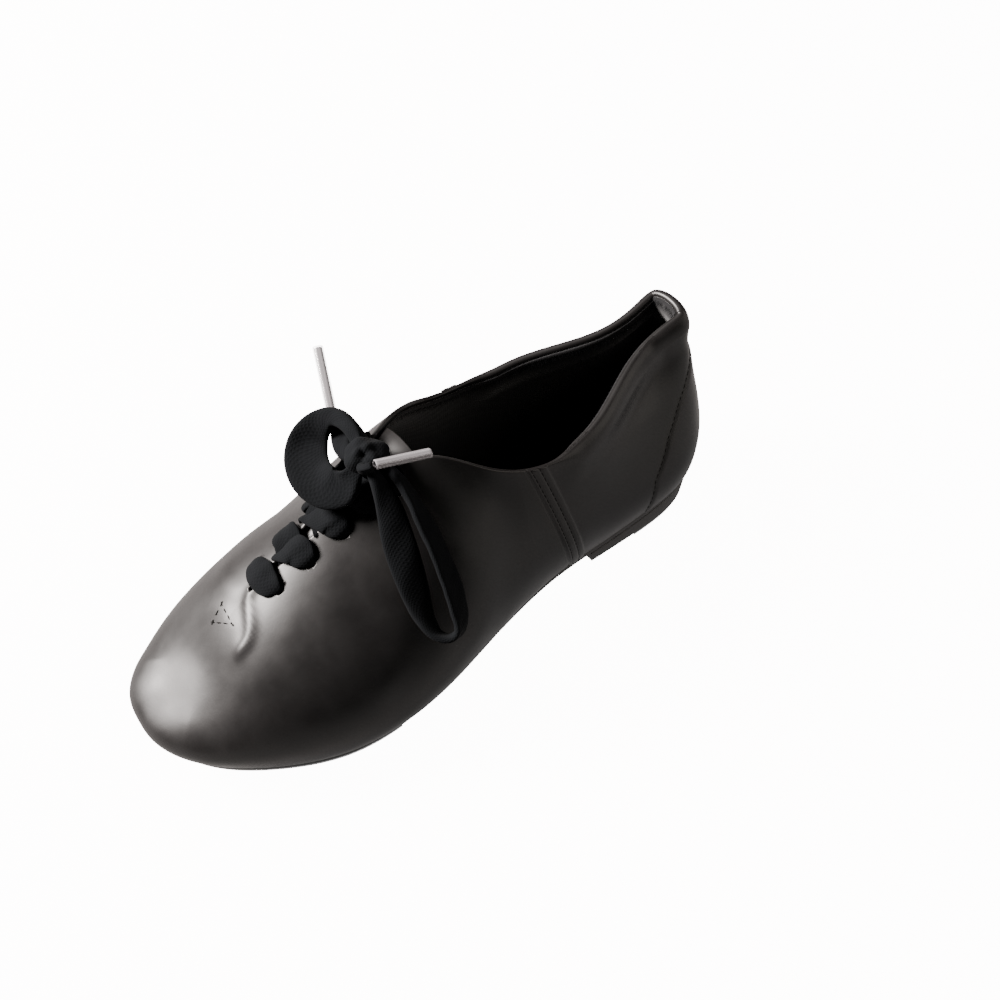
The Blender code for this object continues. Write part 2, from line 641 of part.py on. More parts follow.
def bridge(stations, distances, lift, arch, dip=0.0):
    """A grid over the throat: up one facing, across the gap and down the other, at each station.

    distances lie below the facings' edges, widest first. lift is measured from the wall's outer face,
    arch is the rise of the bridge as a share of the gap, and dip moves the middle toward the toe.
    """
    columns = []
    for station in stations:
        sides = []
        for side in (1, -1):
            points = []
            for distance in distances:
                row = np.array([on_side(station + dip * (1 - distance / distances[0]), side)])
                points.append(wall(row, [rise_below_edge(row[0], distance)], lift)[0, 0])
            sides.append(points)
        lateral, medial = np.array(sides)
        gap = np.linalg.norm(lateral[-1] - medial[-1])
        middle = (lateral[-1] + medial[-1]) / 2 + np.array([0, 0, arch * gap])
        columns.append(np.concatenate([lateral, middle[None], medial[::-1]]))
    return np.array(columns)


def build_tongue(parts, looks):
    """The tongue: a strip under the facings, bridged across the throat."""
    behind = np.linspace(TONGUE_REAR_ROW, TONGUE_FACING_ROW, 9)
    stations = np.concatenate([behind, np.linspace(TONGUE_FACING_ROW, TONGUE_FRONT_ROW, 3)[1:]])
    steps = np.linspace(TONGUE_FLAP, 0, 5)
    outer = bridge(stations, steps, -(WALL + TONGUE_CLEAR), TONGUE_ARCH)
    inner = bridge(stations, steps, -(WALL + TONGUE_CLEAR + TONGUE), TONGUE_ARCH)
    return add_object("tongue", patch("tongue", outer, inner), parts, looks)


def ribbon(name, route, breadth, thickness, parts, looks, per_span=3):
    """A flat lace along a route's stops."""
    line = np.array([(stop.along, stop.out, stop.up) for stop in route]) * MILLIMETRE
    widths = np.array([(stop.width_along, stop.width_out, stop.width_up) for stop in route])
    at = np.linspace(0, len(line) - 1, (len(line) - 1) * per_span + 1)
    middle = np.stack([spline(line[:, k], at) for k in range(3)], axis=1)
    wide = np.stack([spline(widths[:, k], at) for k in range(3)], axis=1)
    run = np.gradient(middle, axis=0)
    run /= np.linalg.norm(run, axis=1)[:, None]
    wide -= run * (wide * run).sum(axis=1)[:, None]
    wide /= np.linalg.norm(wide, axis=1)[:, None]
    face = np.cross(run, wide)
    wide *= spline([stop.share for stop in route], at)[:, None]
    points = np.concatenate([
        middle + wide * (breadth * corner.across) + face * (thickness * corner.through)
        for corner in LACE_SECTION
    ])
    count, sides = len(middle), len(LACE_SECTION)
    faces = [tuple(k * count for k in range(sides))]
    faces.append(tuple(k * count + count - 1 for k in reversed(range(sides))))
    for k in range(sides):
        after = (k + 1) % sides
        for i in range(count - 1):
            faces.append((k * count + i, k * count + i + 1, after * count + i + 1, after * count + i))
    mesh = mesh_of(name, points, faces)
    return add_object(name, mesh, parts, looks)


def build_crossings(parts, looks):
    """The bar over the throat's end, and a strap over the facings at each further pair of eyelets."""
    distances = [EYELET_INSET, EYELET_INSET * 2 / 3, EYELET_INSET / 3, 0.0]
    for number, row in enumerate(EYELET_ROWS, 1):
        edge = top_line(np.array([row - 0.2, row + 0.2]))
        row_length = np.linalg.norm(edge[1] - edge[0]) / 0.4
        half = STRAP_WIDTH / 2 / row_length
        stations = np.linspace(row - half, row + half, 4)
        dip = BAR_DIP if number == 1 else CROSSING_DIP
        inner = bridge(stations, distances, LACE_CLEAR, STRAP_ARCH, dip)
        outer = bridge(stations, distances, LACE_CLEAR + LACE, STRAP_ARCH, dip)
        name = "lace_bar" if number == 1 else f"lace_crossing_{number - 1}"
        add_object(name, patch(name, outer, inner), parts, looks)


def build_bow(parts, looks):
    """The knot, two loops, and two ends with their aglets."""
    for name, route in (("lace_loop_inner", INNER_LOOP), ("lace_loop_outer", OUTER_LOOP),
                        ("lace_end_inner", INNER_END), ("lace_end_outer", OUTER_END)):
        ribbon(name, route, LACE_WIDTH, LACE, parts, looks["cotton"])
    for name, (start, end) in (("aglet_inner", INNER_AGLET), ("aglet_outer", OUTER_AGLET)):
        start, end = Vector(start) * MILLIMETRE, Vector(end) * MILLIMETRE
        made = bmesh.new()
        turn = (end - start).to_track_quat("Z", "Y").to_matrix().to_4x4()
        bmesh.ops.create_cone(
            made, cap_ends=True, segments=10, radius1=AGLET, radius2=AGLET,
            depth=(end - start).length, matrix=Matrix.Translation((start + end) / 2) @ turn,
        )
        mesh = bpy.data.meshes.new(name)
        made.to_mesh(mesh)
        made.free()
        add_object(name, mesh, parts, looks["clear"])
    made = bmesh.new()
    bmesh.ops.create_uvsphere(made, u_segments=12, v_segments=8, radius=MILLIMETRE)
    bmesh.ops.scale(made, vec=KNOT_HALF, verts=made.verts)
    bmesh.ops.translate(made, vec=Vector(KNOT_CENTRE) * MILLIMETRE, verts=made.verts)
    mesh = bpy.data.meshes.new("lace_knot")
    made.to_mesh(mesh)
    made.free()
    add_object("lace_knot", mesh, parts, looks["cotton"])


def centre_on_floor(parts):
    """Moves everything so that the middle of the shoe's plan is at the origin."""
    low = np.array([np.inf, np.inf])
    high = -low
    whole = bpy.context.evaluated_depsgraph_get()
    for made in parts.objects:
        if made.name.startswith(("lace_loop", "lace_end", "lace_knot", "aglet")):
            continue
        points = np.array([v.co for v in made.evaluated_get(whole).data.vertices])[:, :2]
        low, high = np.minimum(low, points.min(axis=0)), np.maximum(high, points.max(axis=0))
    shift = Matrix.Translation((*(-(low + high) / 2), 0.0))
    for made in [*parts.objects, *bpy.data.collections["cutters"].objects]:
        made.data.transform(shift)


def main():
    for old in list(bpy.data.objects):
        bpy.data.objects.remove(old)
    parts = bpy.data.collections.new("tap_shoe")
    cutters = bpy.data.collections.new("cutters")
    for collection in (parts, cutters):
        bpy.context.scene.collection.children.link(collection)
    looks = {
        "leather": material("leather", 0.38),
        "textile": material("textile", 0.9),
        "cotton": material("cotton", 0.85),
        "rubber": material("rubber", 0.6),
        "aluminium": material("aluminium", 0.3, metallic=1.0),
        "clear": material("clear", 0.15, alpha=0.8),
    }
    build_upper(parts, cutters, looks["leather"])
    build_tongue(parts, looks["leather"])
    build_bottom(parts, cutters, looks)
    build_crossings(parts, looks["cotton"])
    build_bow(parts, looks)
    centre_on_floor(parts)


main()
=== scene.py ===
"""Looks of a left tap shoe: black coated leather, wide soft laces and metal plates under toe and heel.

Lengths are metres. The shoe's own frame runs along the last: x from the heel's back to the toe tip,
y to the outer side and z up from the floor. Last.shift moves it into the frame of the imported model.
"""

from __future__ import annotations

import logging
import math
from dataclasses import dataclass, field
from enum import Enum
from functools import cache
from typing import Callable, NamedTuple, Sequence
import bmesh
import bpy
import numpy as np
from mathutils import Matrix, Vector


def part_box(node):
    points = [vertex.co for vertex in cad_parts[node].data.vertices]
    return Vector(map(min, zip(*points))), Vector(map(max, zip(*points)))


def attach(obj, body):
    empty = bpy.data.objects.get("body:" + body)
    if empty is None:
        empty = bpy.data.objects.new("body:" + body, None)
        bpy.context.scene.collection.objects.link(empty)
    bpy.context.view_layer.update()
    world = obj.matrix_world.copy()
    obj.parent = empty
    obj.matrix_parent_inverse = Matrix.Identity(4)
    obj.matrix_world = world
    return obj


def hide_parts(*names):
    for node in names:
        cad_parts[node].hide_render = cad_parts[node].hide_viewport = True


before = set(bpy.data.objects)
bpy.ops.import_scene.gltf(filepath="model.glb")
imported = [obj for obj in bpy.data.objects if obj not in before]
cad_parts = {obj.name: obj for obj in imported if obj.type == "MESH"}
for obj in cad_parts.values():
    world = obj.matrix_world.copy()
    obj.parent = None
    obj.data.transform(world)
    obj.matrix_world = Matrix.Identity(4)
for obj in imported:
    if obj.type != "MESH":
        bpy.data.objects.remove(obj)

LOG = logging.getLogger("tap_shoe")
MM = 0.001


class Row(NamedTuple):
    """One section of the last; the columns are shares of its named sizes and angles in degrees."""

    along: float
    ball: int
    lateral: float
    medial: float
    top: float
    edge_lateral: float
    edge_medial: float
    height: float
    low_lateral: float
    low_medial: float
    high_lateral: float
    high_medial: float
    pull_low: float
    pull_high: float


class Foot(NamedTuple):
    """One place on the curve where the upper meets the sole, as shares."""

    along: float
    heel: float
    spring: float


class Stop(NamedTuple):
    """One place of a lace in millimetres on the last, with its width's direction and share."""

    along: float
    out: float
    up: float
    width_along: float
    width_out: float
    width_up: float
    share: float


ROWS: tuple[Row, ...] = (
    Row(0.000, 0, 0.000, 0.000, 0.011, 0.000, 0.000, 0.00, 70, 70, 100, 100, 0.40, 0.30),
    Row(0.017, 0, 0.250, 0.250, 0.022, 0.190, 0.160, 0.08, 70, 70, 100, 100, 0.40, 0.30),
    Row(0.064, 0, 0.432, 0.432, 0.058, 0.217, 0.176, 0.25, 70, 70, 100, 100, 0.40, 0.30),
    Row(0.139, 0, 0.500, 0.500, 0.135, 0.256, 0.220, 0.64, 68, 68, 98, 98, 0.40, 0.30),
    Row(0.246, 0, 0.506, 0.474, 0.242, 0.455, 0.440, 0.92, 65, 65, 95, 95, 0.40, 0.30),
    Row(0.361, 1, 0.369, 0.311, 0.348, 0.500, 0.500, 1.00, 60, 62, 85, 85, 0.40, 0.30),
    Row(0.475, 1, 0.406, 0.338, 0.441, 0.407, 0.407, 1.48, 55, 65, 70, 70, 0.40, 0.30),
    Row(0.582, 1, 0.466, 0.420, 0.521, 0.212, 0.196, 2.00, 50, 65, 45, 45, 0.40, 0.35),
    Row(0.689, 1, 0.511, 0.489, 0.633, 0.090, 0.070, 2.34, 48, 60, 25, 30, 0.40, 0.40),
    Row(0.787, 1, 0.485, 0.496, 0.787, 0.000, 0.000, 3.00, 50, 55, 0, 0, 0.40, 0.45),
    Row(0.877, 1, 0.375, 0.452, 0.852, 0.000, 0.000, 3.40, 52, 55, 0, 0, 0.42, 0.50),
    Row(0.951, 1, 0.225, 0.354, 0.891, 0.000, 0.000, 3.79, 55, 55, 0, 0, 0.45, 0.55),
    Row(0.992, 1, 0.053, 0.236, 0.912, 0.000, 0.000, 3.96, 55, 55, 0, 0, 0.45, 0.55),
    Row(1.000, 1, -0.097, 0.097, 0.918, 0.000, 0.000, 4.00, 55, 55, 0, 0, 0.45, 0.55),
)
FEET: tuple[Foot, ...] = (
    Foot(-0.082, 1.03, 0.0),
    Foot(0.000, 1.00, 0.0),
    Foot(0.123, 0.90, 0.0),
    Foot(0.254, 0.70, 0.0),
    Foot(0.369, 0.60, 0.0),
    Foot(0.471, 0.30, 0.0),
    Foot(0.574, 0.08, 0.0),
    Foot(0.676, 0.00, 0.0),
    Foot(0.779, 0.00, 0.0),
    Foot(0.881, 0.00, 0.3),
    Foot(1.000, 0.00, 1.0),
    Foot(1.082, 0.00, 1.5),
)
LAST_ROW = len(ROWS) - 1
THROAT_ROW = 9
TOE_FAN_ROW = 11.3
EYELET_ROWS = (8.80, 8.45, 8.10, 7.78, 7.46)


def linear(hex_colour: str) -> tuple[float, float, float, float]:
    """Turns an sRGB hex colour to linear RGBA.

    Args:
        hex_colour: Six hex digits after a hash sign.

    Returns:
        Red, green, blue and alpha 1.
    """
    parts = [int(hex_colour[i : i + 2], 16) / 255 for i in (1, 3, 5)]
    red, green, blue = (c / 12.92 if c <= 0.04045 else ((c + 0.055) / 1.055) ** 2.4 for c in parts)
    return (red, green, blue, 1.0)


def add_node(tree: bpy.types.NodeTree, kind: str, links: dict | None = None, **settings) -> bpy.types.Node:
    """Adds a node, sets its properties, and fills or links its inputs.

    Args:
        tree: The tree that gets the node.
        kind: The node's type name.
        links: Input name or index to a socket or a plain value.
        settings: Properties of the node itself.

    Returns:
        The new node.
    """
    node = tree.nodes.new(kind)
    for name, value in settings.items():
        setattr(node, name, value)
    for name, value in (links or {}).items():
        if isinstance(value, bpy.types.NodeSocket):
            tree.links.new(value, node.inputs[name])
        else:
            node.inputs[name].default_value = value
    return node


def add_noise(
    tree: bpy.types.NodeTree, place: bpy.types.NodeSocket, size: float, detail: float = 2.0
) -> bpy.types.Node:
    """Adds a noise texture whose features measure about size metres.

    Args:
        tree: The material's tree.
        place: The coordinates.
        size: The features' size.
        detail: How many finer layers it has.

    Returns:
        The texture node.
    """
    return add_node(tree, "ShaderNodeTexNoise", {"Vector": place, "Scale": 1 / size, "Detail": detail})


def add_bump(
    tree: bpy.types.NodeTree, height: bpy.types.NodeSocket, strength: float, depth: float,
    under: bpy.types.NodeSocket | None = None,
) -> bpy.types.Node:
    """Adds a bump of a depth in metres, over another bump where one is given.

    Args:
        tree: The material's tree.
        height: The height's socket.
        strength: How much of it counts.
        depth: The relief's depth.
        under: The other bump's normal.

    Returns:
        The bump node.
    """
    links = {"Height": height, "Strength": strength, "Distance": depth}
    if under is not None:
        links["Normal"] = under
    return add_node(tree, "ShaderNodeBump", links)


def spline(values: Sequence[float], at: np.ndarray, closed: bool = False) -> np.ndarray:
    """Reads a smooth cubic through values given at 0, 1, 2 ...

    Args:
        values: The values that the curve passes.
        at: The places to read.
        closed: True where the last value joins the first.

    Returns:
        The curve's values at those places.
    """
    values = np.asarray(values, float)
    at = np.asarray(at, float)
    count = len(values)
    matrix = np.zeros((count, count))
    right = np.zeros(count)
    for i in range(count):
        before, after = (i - 1) % count, (i + 1) % count
        if closed or 0 < i < count - 1:
            matrix[i, before], matrix[i, i], matrix[i, after] = 1, 4, 1
            right[i] = 3 * (values[after] - values[before])
    if not closed:
        matrix[0, 0], matrix[0, 1] = 2, 1
        matrix[-1, -1], matrix[-1, -2] = 2, 1
        right[0] = 3 * (values[1] - values[0])
        right[-1] = 3 * (values[-1] - values[-2])
    slope = np.linalg.solve(matrix, right)
    start = np.floor(at).astype(int)
    if closed:
        t = at - start
        start = start % count
        end = (start + 1) % count
    else:
        start = np.clip(start, 0, count - 2)
        end = start + 1
        t = at - start
    return (
        (2 * t**3 - 3 * t**2 + 1) * values[start]
        + (t**3 - 2 * t**2 + t) * slope[start]
        + (3 * t**2 - 2 * t**3) * values[end]
        + (t**3 - t**2) * slope[end]
    )


def smooth_step(x: np.ndarray) -> np.ndarray:
    """Goes from 0 to 1 softly as x does."""
    x = np.clip(x, 0, 1)
    return x * x * (3 - 2 * x)


def unit(vectors: np.ndarray) -> np.ndarray:
    """Scales vectors on the last axis to length 1."""
    return vectors / np.maximum(np.linalg.norm(vectors, axis=-1, keepdims=True), 1e-12)


def distance_to(points: np.ndarray, path: np.ndarray) -> np.ndarray:
    """Distance from each point to a polyline.

    Args:
        points: Points on the last axis.
        path: The polyline's corners.

    Returns:
        One distance for each point.
    """
    best = np.full(points.shape[:-1], np.inf)
    for a, b in zip(path[:-1], path[1:]):
        run = b - a
        t = np.clip(((points - a) @ run) / max(run @ run, 1e-12), 0, 1)
        gap = np.linalg.norm(points - (a + t[..., None] * run), axis=-1)
        best = np.minimum(best, gap)
    return best


def around(lateral: np.ndarray, medial: np.ndarray) -> np.ndarray:
    """A closed column: lateral values from heel to toe, and medial ones back."""
    return np.concatenate([lateral, np.asarray(medial)[-2:0:-1]])


def column(name: str) -> np.ndarray:
    """One column of the table of sections."""
    return np.array([getattr(row, name) for row in ROWS], float)


def from_toe(rows: np.ndarray) -> np.ndarray:
    """The section's number on its own side, heel 0 to toe 13, for rows that run round the shoe."""
    return np.minimum(rows, 2 * LAST_ROW - rows)


def on_side(row: float, side: int) -> float:
    """The row on the outer side, 1, or on the inner side, -1."""
    return row if side > 0 else 2 * LAST_ROW - row


@dataclass(frozen=True)
class Last:
    """The last that the shoe is pulled over, and the bottom under it."""

    length: float = 0.244
    ball_width: float = 0.0855
    heel_width: float = 0.0617
    collar_width: float = 0.0562
    heights: tuple[float, ...] = (0.0705, 0.0590, 0.0832, 0.0495, 0.0222)
    throat_swing: float = -0.0050
    toe_swing: float = -0.0040
    toe_spring: float = 0.0062
    plate: float = 0.0027
    sole: float = 0.0034
    heel_block: float = 0.0113
    gap: float = 0.0003
    sole_inset: float = 0.0005

    @property
    def seat(self) -> float:
        """Height of the heel seat."""
        return self.plate + self.gap + self.heel_block + self.gap + self.sole

    @property
    def fore(self) -> float:
        """Height of the sole's upper face at the ball."""
        return self.plate + self.gap + self.sole

    @cache
    def shift(self) -> np.ndarray:
        """The way from the last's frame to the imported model's, read from the sole's own box."""
        edges = self.edges(0, LAST_ROW, self.sole_inset, 44)
        low = np.array(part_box("outsole")[0])
        return np.array([low[0] - edges[:, :, 0].min(), low[1] - edges[:, :, 1].min(), 0.0])

    def foot_height(self, x: np.ndarray) -> np.ndarray:
        """Height of the sole's upper face above the floor at x."""
        along = [foot.along * self.length for foot in FEET]
        rise = self.seat - self.fore
        heights = [self.fore + foot.heel * rise + foot.spring * self.toe_spring for foot in FEET]
        return np.maximum(spline(heights, np.interp(x, along, np.arange(len(FEET)))), self.fore)

    def outline(self, rows: np.ndarray) -> tuple[np.ndarray, np.ndarray]:
        """The bottom outline and its outward directions.

        Args:
            rows: Places round the shoe.

        Returns:
            Points and directions in plan.
        """
        width = np.where(column("ball") > 0, self.ball_width, self.heel_width)
        x = around(column("along") * self.length, column("along") * self.length)
        y = around(column("lateral") * width, -column("medial") * width)
        step = 0.001
        points = np.stack([spline(x, rows, True), spline(y, rows, True)], axis=1)
        ahead = np.stack([spline(x, rows + step, True), spline(y, rows + step, True)], axis=1)
        behind = np.stack([spline(x, rows - step, True), spline(y, rows - step, True)], axis=1)
        run = ahead - behind
        return points, unit(np.stack([-run[:, 1], run[:, 0]], axis=1))

    def top_line(self, rows: np.ndarray) -> np.ndarray:
        """The wall's upper end: the rim, the facings and the vamp's ridge, outer side above 0."""
        base = self.foot_height(column("along") * self.length)
        up = base + np.interp(column("height"), range(5), self.heights)
        along = column("top") * self.length
        x = spline(around(along, along), rows, True)
        z = spline(around(up, up), rows, True)
        edge = around(column("edge_lateral"), -column("edge_medial")) * self.collar_width
        beside = np.where(from_toe(rows) >= THROAT_ROW - 1e-6, 0.0, spline(edge, rows, True))
        stops = np.array([0.410, 0.787, 0.910]) * self.length
        ridge = np.interp(x, stops, [0.0, self.throat_swing, self.toe_swing])
        return np.stack([x, beside + ridge, z], axis=1)

    @cache
    def ridge_table(self) -> tuple[np.ndarray, np.ndarray, float]:
        """Places along the upper end, its climb there, and where the toe's fan begins."""
        rows = np.linspace(0, LAST_ROW, 261)
        line = self.top_line(rows)
        slope = np.gradient(line[:, 2], line[:, 0] + rows * 1e-6)
        return line[:, 0], slope, float(self.top_line(np.array([TOE_FAN_ROW]))[0, 0])

    def ridge_slope(self, x: np.ndarray) -> np.ndarray:
        """How steeply the upper end climbs at x, held even where the sections fan round the toe."""
        along, slope, fan_start = self.ridge_table()
        return np.interp(np.minimum(x, fan_start), along, slope)

    def wall(self, rows: np.ndarray, rises: np.ndarray) -> np.ndarray:
        """Points of the last's surface.

        Args:
            rows: Places round the shoe.
            rises: Shares of the wall's height, one list for all rows or one for each.

        Returns:
            A grid of points, rows by rises.
        """
        flat, outward = self.outline(rows)
        foot = np.column_stack([flat, self.foot_height(flat[:, 0])])
        top = self.top_line(rows)
        low = np.radians(spline(around(column("low_lateral"), column("low_medial")), rows, True))
        high = np.radians(spline(around(column("high_lateral"), column("high_medial")), rows, True))
        pull_low = spline(around(column("pull_low"), column("pull_low")), rows, True)
        pull_high = spline(around(column("pull_high"), column("pull_high")), rows, True)
        across = top[:, :2] - foot[:, :2]
        across = across / np.maximum(np.linalg.norm(across, axis=1), 1e-9)[:, None]
        chord = np.linalg.norm(top - foot, axis=1)
        vamp = np.clip((top[:, 0] / self.length - 0.450) / 0.205, 0, 1)
        inward = unit(-outward * (1 - vamp)[:, None] + across * vamp[:, None])
        climb = inward[:, 0] * self.ridge_slope(top[:, 0]) * vamp
        leave = np.column_stack([outward * np.cos(low)[:, None], np.sin(low)])
        arrive = np.column_stack([inward * np.cos(high)[:, None], np.sin(high) + climb * np.cos(high)])
        first = (foot + leave * (pull_low * chord)[:, None])[:, None]
        second = (top - arrive * (pull_high * chord)[:, None])[:, None]
        v = np.broadcast_to(np.asarray(rises, float), (len(rows), np.shape(rises)[-1]))[..., None]
        foot, top = foot[:, None], top[:, None]
        return (1 - v) ** 3 * foot + 3 * (1 - v) ** 2 * v * first + 3 * (1 - v) * v**2 * second + v**3 * top

    def normals(self, rows: np.ndarray, rises: np.ndarray) -> np.ndarray:
        """Outward directions of the last's surface."""
        step = 0.004
        rises = np.clip(np.asarray(rises, float), step, 1 - step)
        loop = 2 * LAST_ROW
        along = self.wall((rows + step) % loop, rises) - self.wall((rows - step) % loop, rises)
        up = self.wall(rows, rises + step) - self.wall(rows, rises - step)
        return unit(np.cross(up, along))

    def chord(self, rows: np.ndarray) -> np.ndarray:
        """The straight length from the wall's foot to its upper end."""
        ends = self.wall(rows, np.array([0.0, 1.0]))
        return np.linalg.norm(ends[:, 1] - ends[:, 0], axis=1)

    def rise_below(self, row: float, distance: float) -> float:
        """The rise of the place that lies distance below the wall's upper end."""
        share = np.linspace(0, 1, 101)
        line = self.wall(np.array([row]), share)[0]
        run = np.concatenate([[0], np.cumsum(np.linalg.norm(np.diff(line, axis=0), axis=1))])
        return float(np.interp(run[-1] - distance, run, share))

    def row_at(self, x: float) -> float:
        """The row whose foot lies at x."""
        return float(np.interp(x, column("along") * self.length, np.arange(len(ROWS))))

    def edges(self, first: float, last: float, inset: float, count: int) -> np.ndarray:
        """Outer and inner edge of a piece of the bottom, from one row to another."""
        rows = np.linspace(first, last, count)
        lateral, out_lateral = self.outline(rows)
        medial, out_medial = self.outline((2 * LAST_ROW - rows) % (2 * LAST_ROW))
        return np.stack([lateral - out_lateral * inset, medial - out_medial * inset])


@dataclass(frozen=True)
class Crease:
    """A soft ridge, or a trough where lift is below 0, along places on the wall."""

    places: tuple[tuple[float, float], ...]
    lift: float
    reach: float


@dataclass(frozen=True)
class Skin:
    """The upper's outer face: padding, seams, counter and creases over the last."""

    last: Last = field(default_factory=Last)
    wall: float = 0.0018
    pad: float = 0.0028
    pad_swell: float = 0.0012
    pad_band: float = 0.0170
    pad_flat: float = 0.0060
    seam_foot: float = 4.65
    seam_rim: float = 5.30
    seam_strip: float = 0.0070
    seam_raise: float = 0.0006
    seam_lines: tuple[float, float] = (0.00235, -0.00085)
    counter_raise: float = 0.0005
    undulation: float = 0.00005
    counter: tuple[tuple[float, float], ...] = (
        (0.02, 3.35), (0.26, 3.20), (0.42, 2.75), (0.53, 2.25), (0.63, 1.60), (0.72, 1.00), (0.80, 0.45),
    )
    creases: tuple[Crease, ...] = (
        # The fold that runs from the throat's end over the toe's ridge
        Crease(((9.02, 0.995), (9.15, 0.970), (9.3, 0.900), (9.5, 0.850), (9.8, 0.838)), 0.00075, 0.0022),
        Crease(((9.8, 0.845), (10.4, 0.880), (11.0, 0.900)), 0.00022, 0.0060),
        # A softer fold on the throat's inner side
        Crease(((16.85, 0.740), (16.75, 0.890), (16.9, 0.975)), 0.00035, 0.0042),
        # The trough under the padded collar and the shoulder under it, on both sides
        Crease(((2.1, 0.850), (2.7, 0.790), (3.4, 0.770), (4.2, 0.850), (4.7, 0.905)), -0.00035, 0.0060),
        Crease(((1.1, 0.720), (2.1, 0.650), (2.9, 0.625), (3.45, 0.640), (4.0, 0.700), (4.6, 0.765)),
               0.00060, 0.0075),
        Crease(((23.9, 0.850), (23.3, 0.790), (22.6, 0.770), (21.8, 0.850), (21.3, 0.905)), -0.00035, 0.0060),
        Crease(((24.9, 0.720), (23.9, 0.650), (23.1, 0.625), (22.0, 0.700), (21.4, 0.765)), 0.00060, 0.0075),
        # The pinch where the roll folds at the heel's outer corner
        Crease(((2.62, 1.0), (2.50, 0.930), (2.30, 0.860)), -0.00040, 0.0032),
        # Slack of the quarters in front of the side seams
        Crease(((6.3, 0.90), (6.5, 0.65), (6.9, 0.35)), 0.0006, 0.0080),
        Crease(((7.3, 0.80), (7.6, 0.50), (8.2, 0.30)), -0.0006, 0.0075),
        Crease(((19.7, 0.90), (19.5, 0.65), (19.1, 0.35)), 0.0006, 0.0080),
    )

    def padding(self, rows: np.ndarray, rises: np.ndarray) -> np.ndarray:
        """How much of the collar's padding each place has, from 0 to 1."""
        behind = 1 - smooth_step((from_toe(rows) - 4.40) / 0.70)
        band = 1 - smooth_step((self.below(rows, rises) - self.pad_flat) / (self.pad_band - self.pad_flat))
        return behind[:, None] * band

    def below(self, rows: np.ndarray, rises: np.ndarray) -> np.ndarray:
        """How far each place lies below the wall's upper end."""
        return (1 - np.asarray(rises, float)) * self.last.chord(rows)[:, None]

    def counter_row(self, rises: np.ndarray) -> np.ndarray:
        """The row of the heel counter's forward edge at each rise."""
        return np.interp(rises, [c[0] for c in self.counter], [c[1] for c in self.counter])

    def seam_row(self, rises: np.ndarray) -> np.ndarray:
        """The row of a side seam's middle at each rise."""
        return self.seam_foot + (self.seam_rim - self.seam_foot) * np.asarray(rises, float)

    def row_length(self, rises: np.ndarray) -> np.ndarray:
        """Length of one row near the side seams at each rise."""
        foot = self.last.length * (ROWS[5].along - ROWS[4].along)
        rim = self.last.length * (ROWS[6].top - ROWS[5].top)
        return foot + (rim - foot) * np.asarray(rises, float)

    @cache
    def counter_path(self) -> np.ndarray:
        """The heel counter's forward edge, up the outer side and down the inner one."""
        rows = self.counter_row(SHARES)
        both = (rows, (2 * LAST_ROW - rows) % (2 * LAST_ROW))
        sides = [self.last.wall(some, SHARES[:, None])[:, 0] for some in both]
        return np.concatenate([sides[0], sides[1][::-1]])

    @cache
    def crease_paths(self) -> list[np.ndarray]:
        """Each crease as a smooth line of points on the last."""
        paths = []
        for crease in self.creases:
            nodes = [self.last.wall(np.array([row]), np.array([rise]))[0, 0] for row, rise in crease.places]
            at = np.linspace(0, len(nodes) - 1, 4 * len(nodes))
            paths.append(np.stack([spline([n[k] for n in nodes], at) for k in range(3)], axis=1))
        return paths

    def relief(self, rows: np.ndarray, rises: np.ndarray, points: np.ndarray) -> np.ndarray:
        """How far each place stands out from the last, apart from the padding."""
        rises = np.broadcast_to(np.asarray(rises, float), points.shape[:2])
        place = from_toe(rows)[:, None]
        forward = (place - self.seam_row(rises)) * self.row_length(rises)
        strip = 0.5 * (1 + np.tanh((self.seam_strip / 2 - np.abs(forward)) / (0.30 * MM)))
        out = self.seam_raise * strip
        for line in self.seam_lines:
            out -= 0.00042 * np.exp(-(((forward - line) / (0.42 * MM)) ** 2))
        out -= 0.00035 * np.exp(-(((forward - 3.95 * MM) / (0.50 * MM)) ** 2))
        edge = distance_to(points, self.counter_path())
        inside = (place < self.counter_row(rises)) & (rises < self.counter[-1][0])
        out += self.counter_raise * 0.5 * (1 + np.tanh(np.where(inside, edge, -edge) / (0.80 * MM)))
        out -= 0.00028 * np.exp(-((edge / (0.75 * MM)) ** 2))
        for crease, path in zip(self.creases, self.crease_paths()):
            gap = distance_to(points, path)
            out += crease.lift * np.exp(-((gap / crease.reach) ** 2))
        x, y, z = points[..., 0], points[..., 1], points[..., 2]
        out += self.undulation * np.sin(210 * x + 60 * y + 1.3) * np.sin(140 * z - 95 * y + 0.4)
        out += 0.5 * self.undulation * np.sin(330 * y + 120 * z) * np.sin(260 * x - 150 * z + 2.1)
        return out

    def cover(self, rows: np.ndarray, rises: np.ndarray, lift: float | np.ndarray = 0.0) -> np.ndarray:
        """Points of the leather's outer face, raised by lift along its own direction."""
        rows = np.asarray(rows, float)
        points = self.last.wall(rows, rises)
        out = self.pad_swell * self.padding(rows, rises) + self.relief(rows, rises, points) + lift
        return points + self.last.normals(rows, rises) * out[..., None]

    def facing(self, row: float, side: int, below: float, lift: float) -> np.ndarray:
        """A point on a facing, at a distance below its edge and a height over the leather."""
        place = np.array([on_side(row, side)])
        return self.cover(place, np.array([self.last.rise_below(place[0], below)]), lift)[0, 0]


SHARES = np.linspace(0.02, 0.80, 40)


class Fabric(Enum):
    """How a textile is made."""

    KNIT = "knit"
    BRAID = "braid"


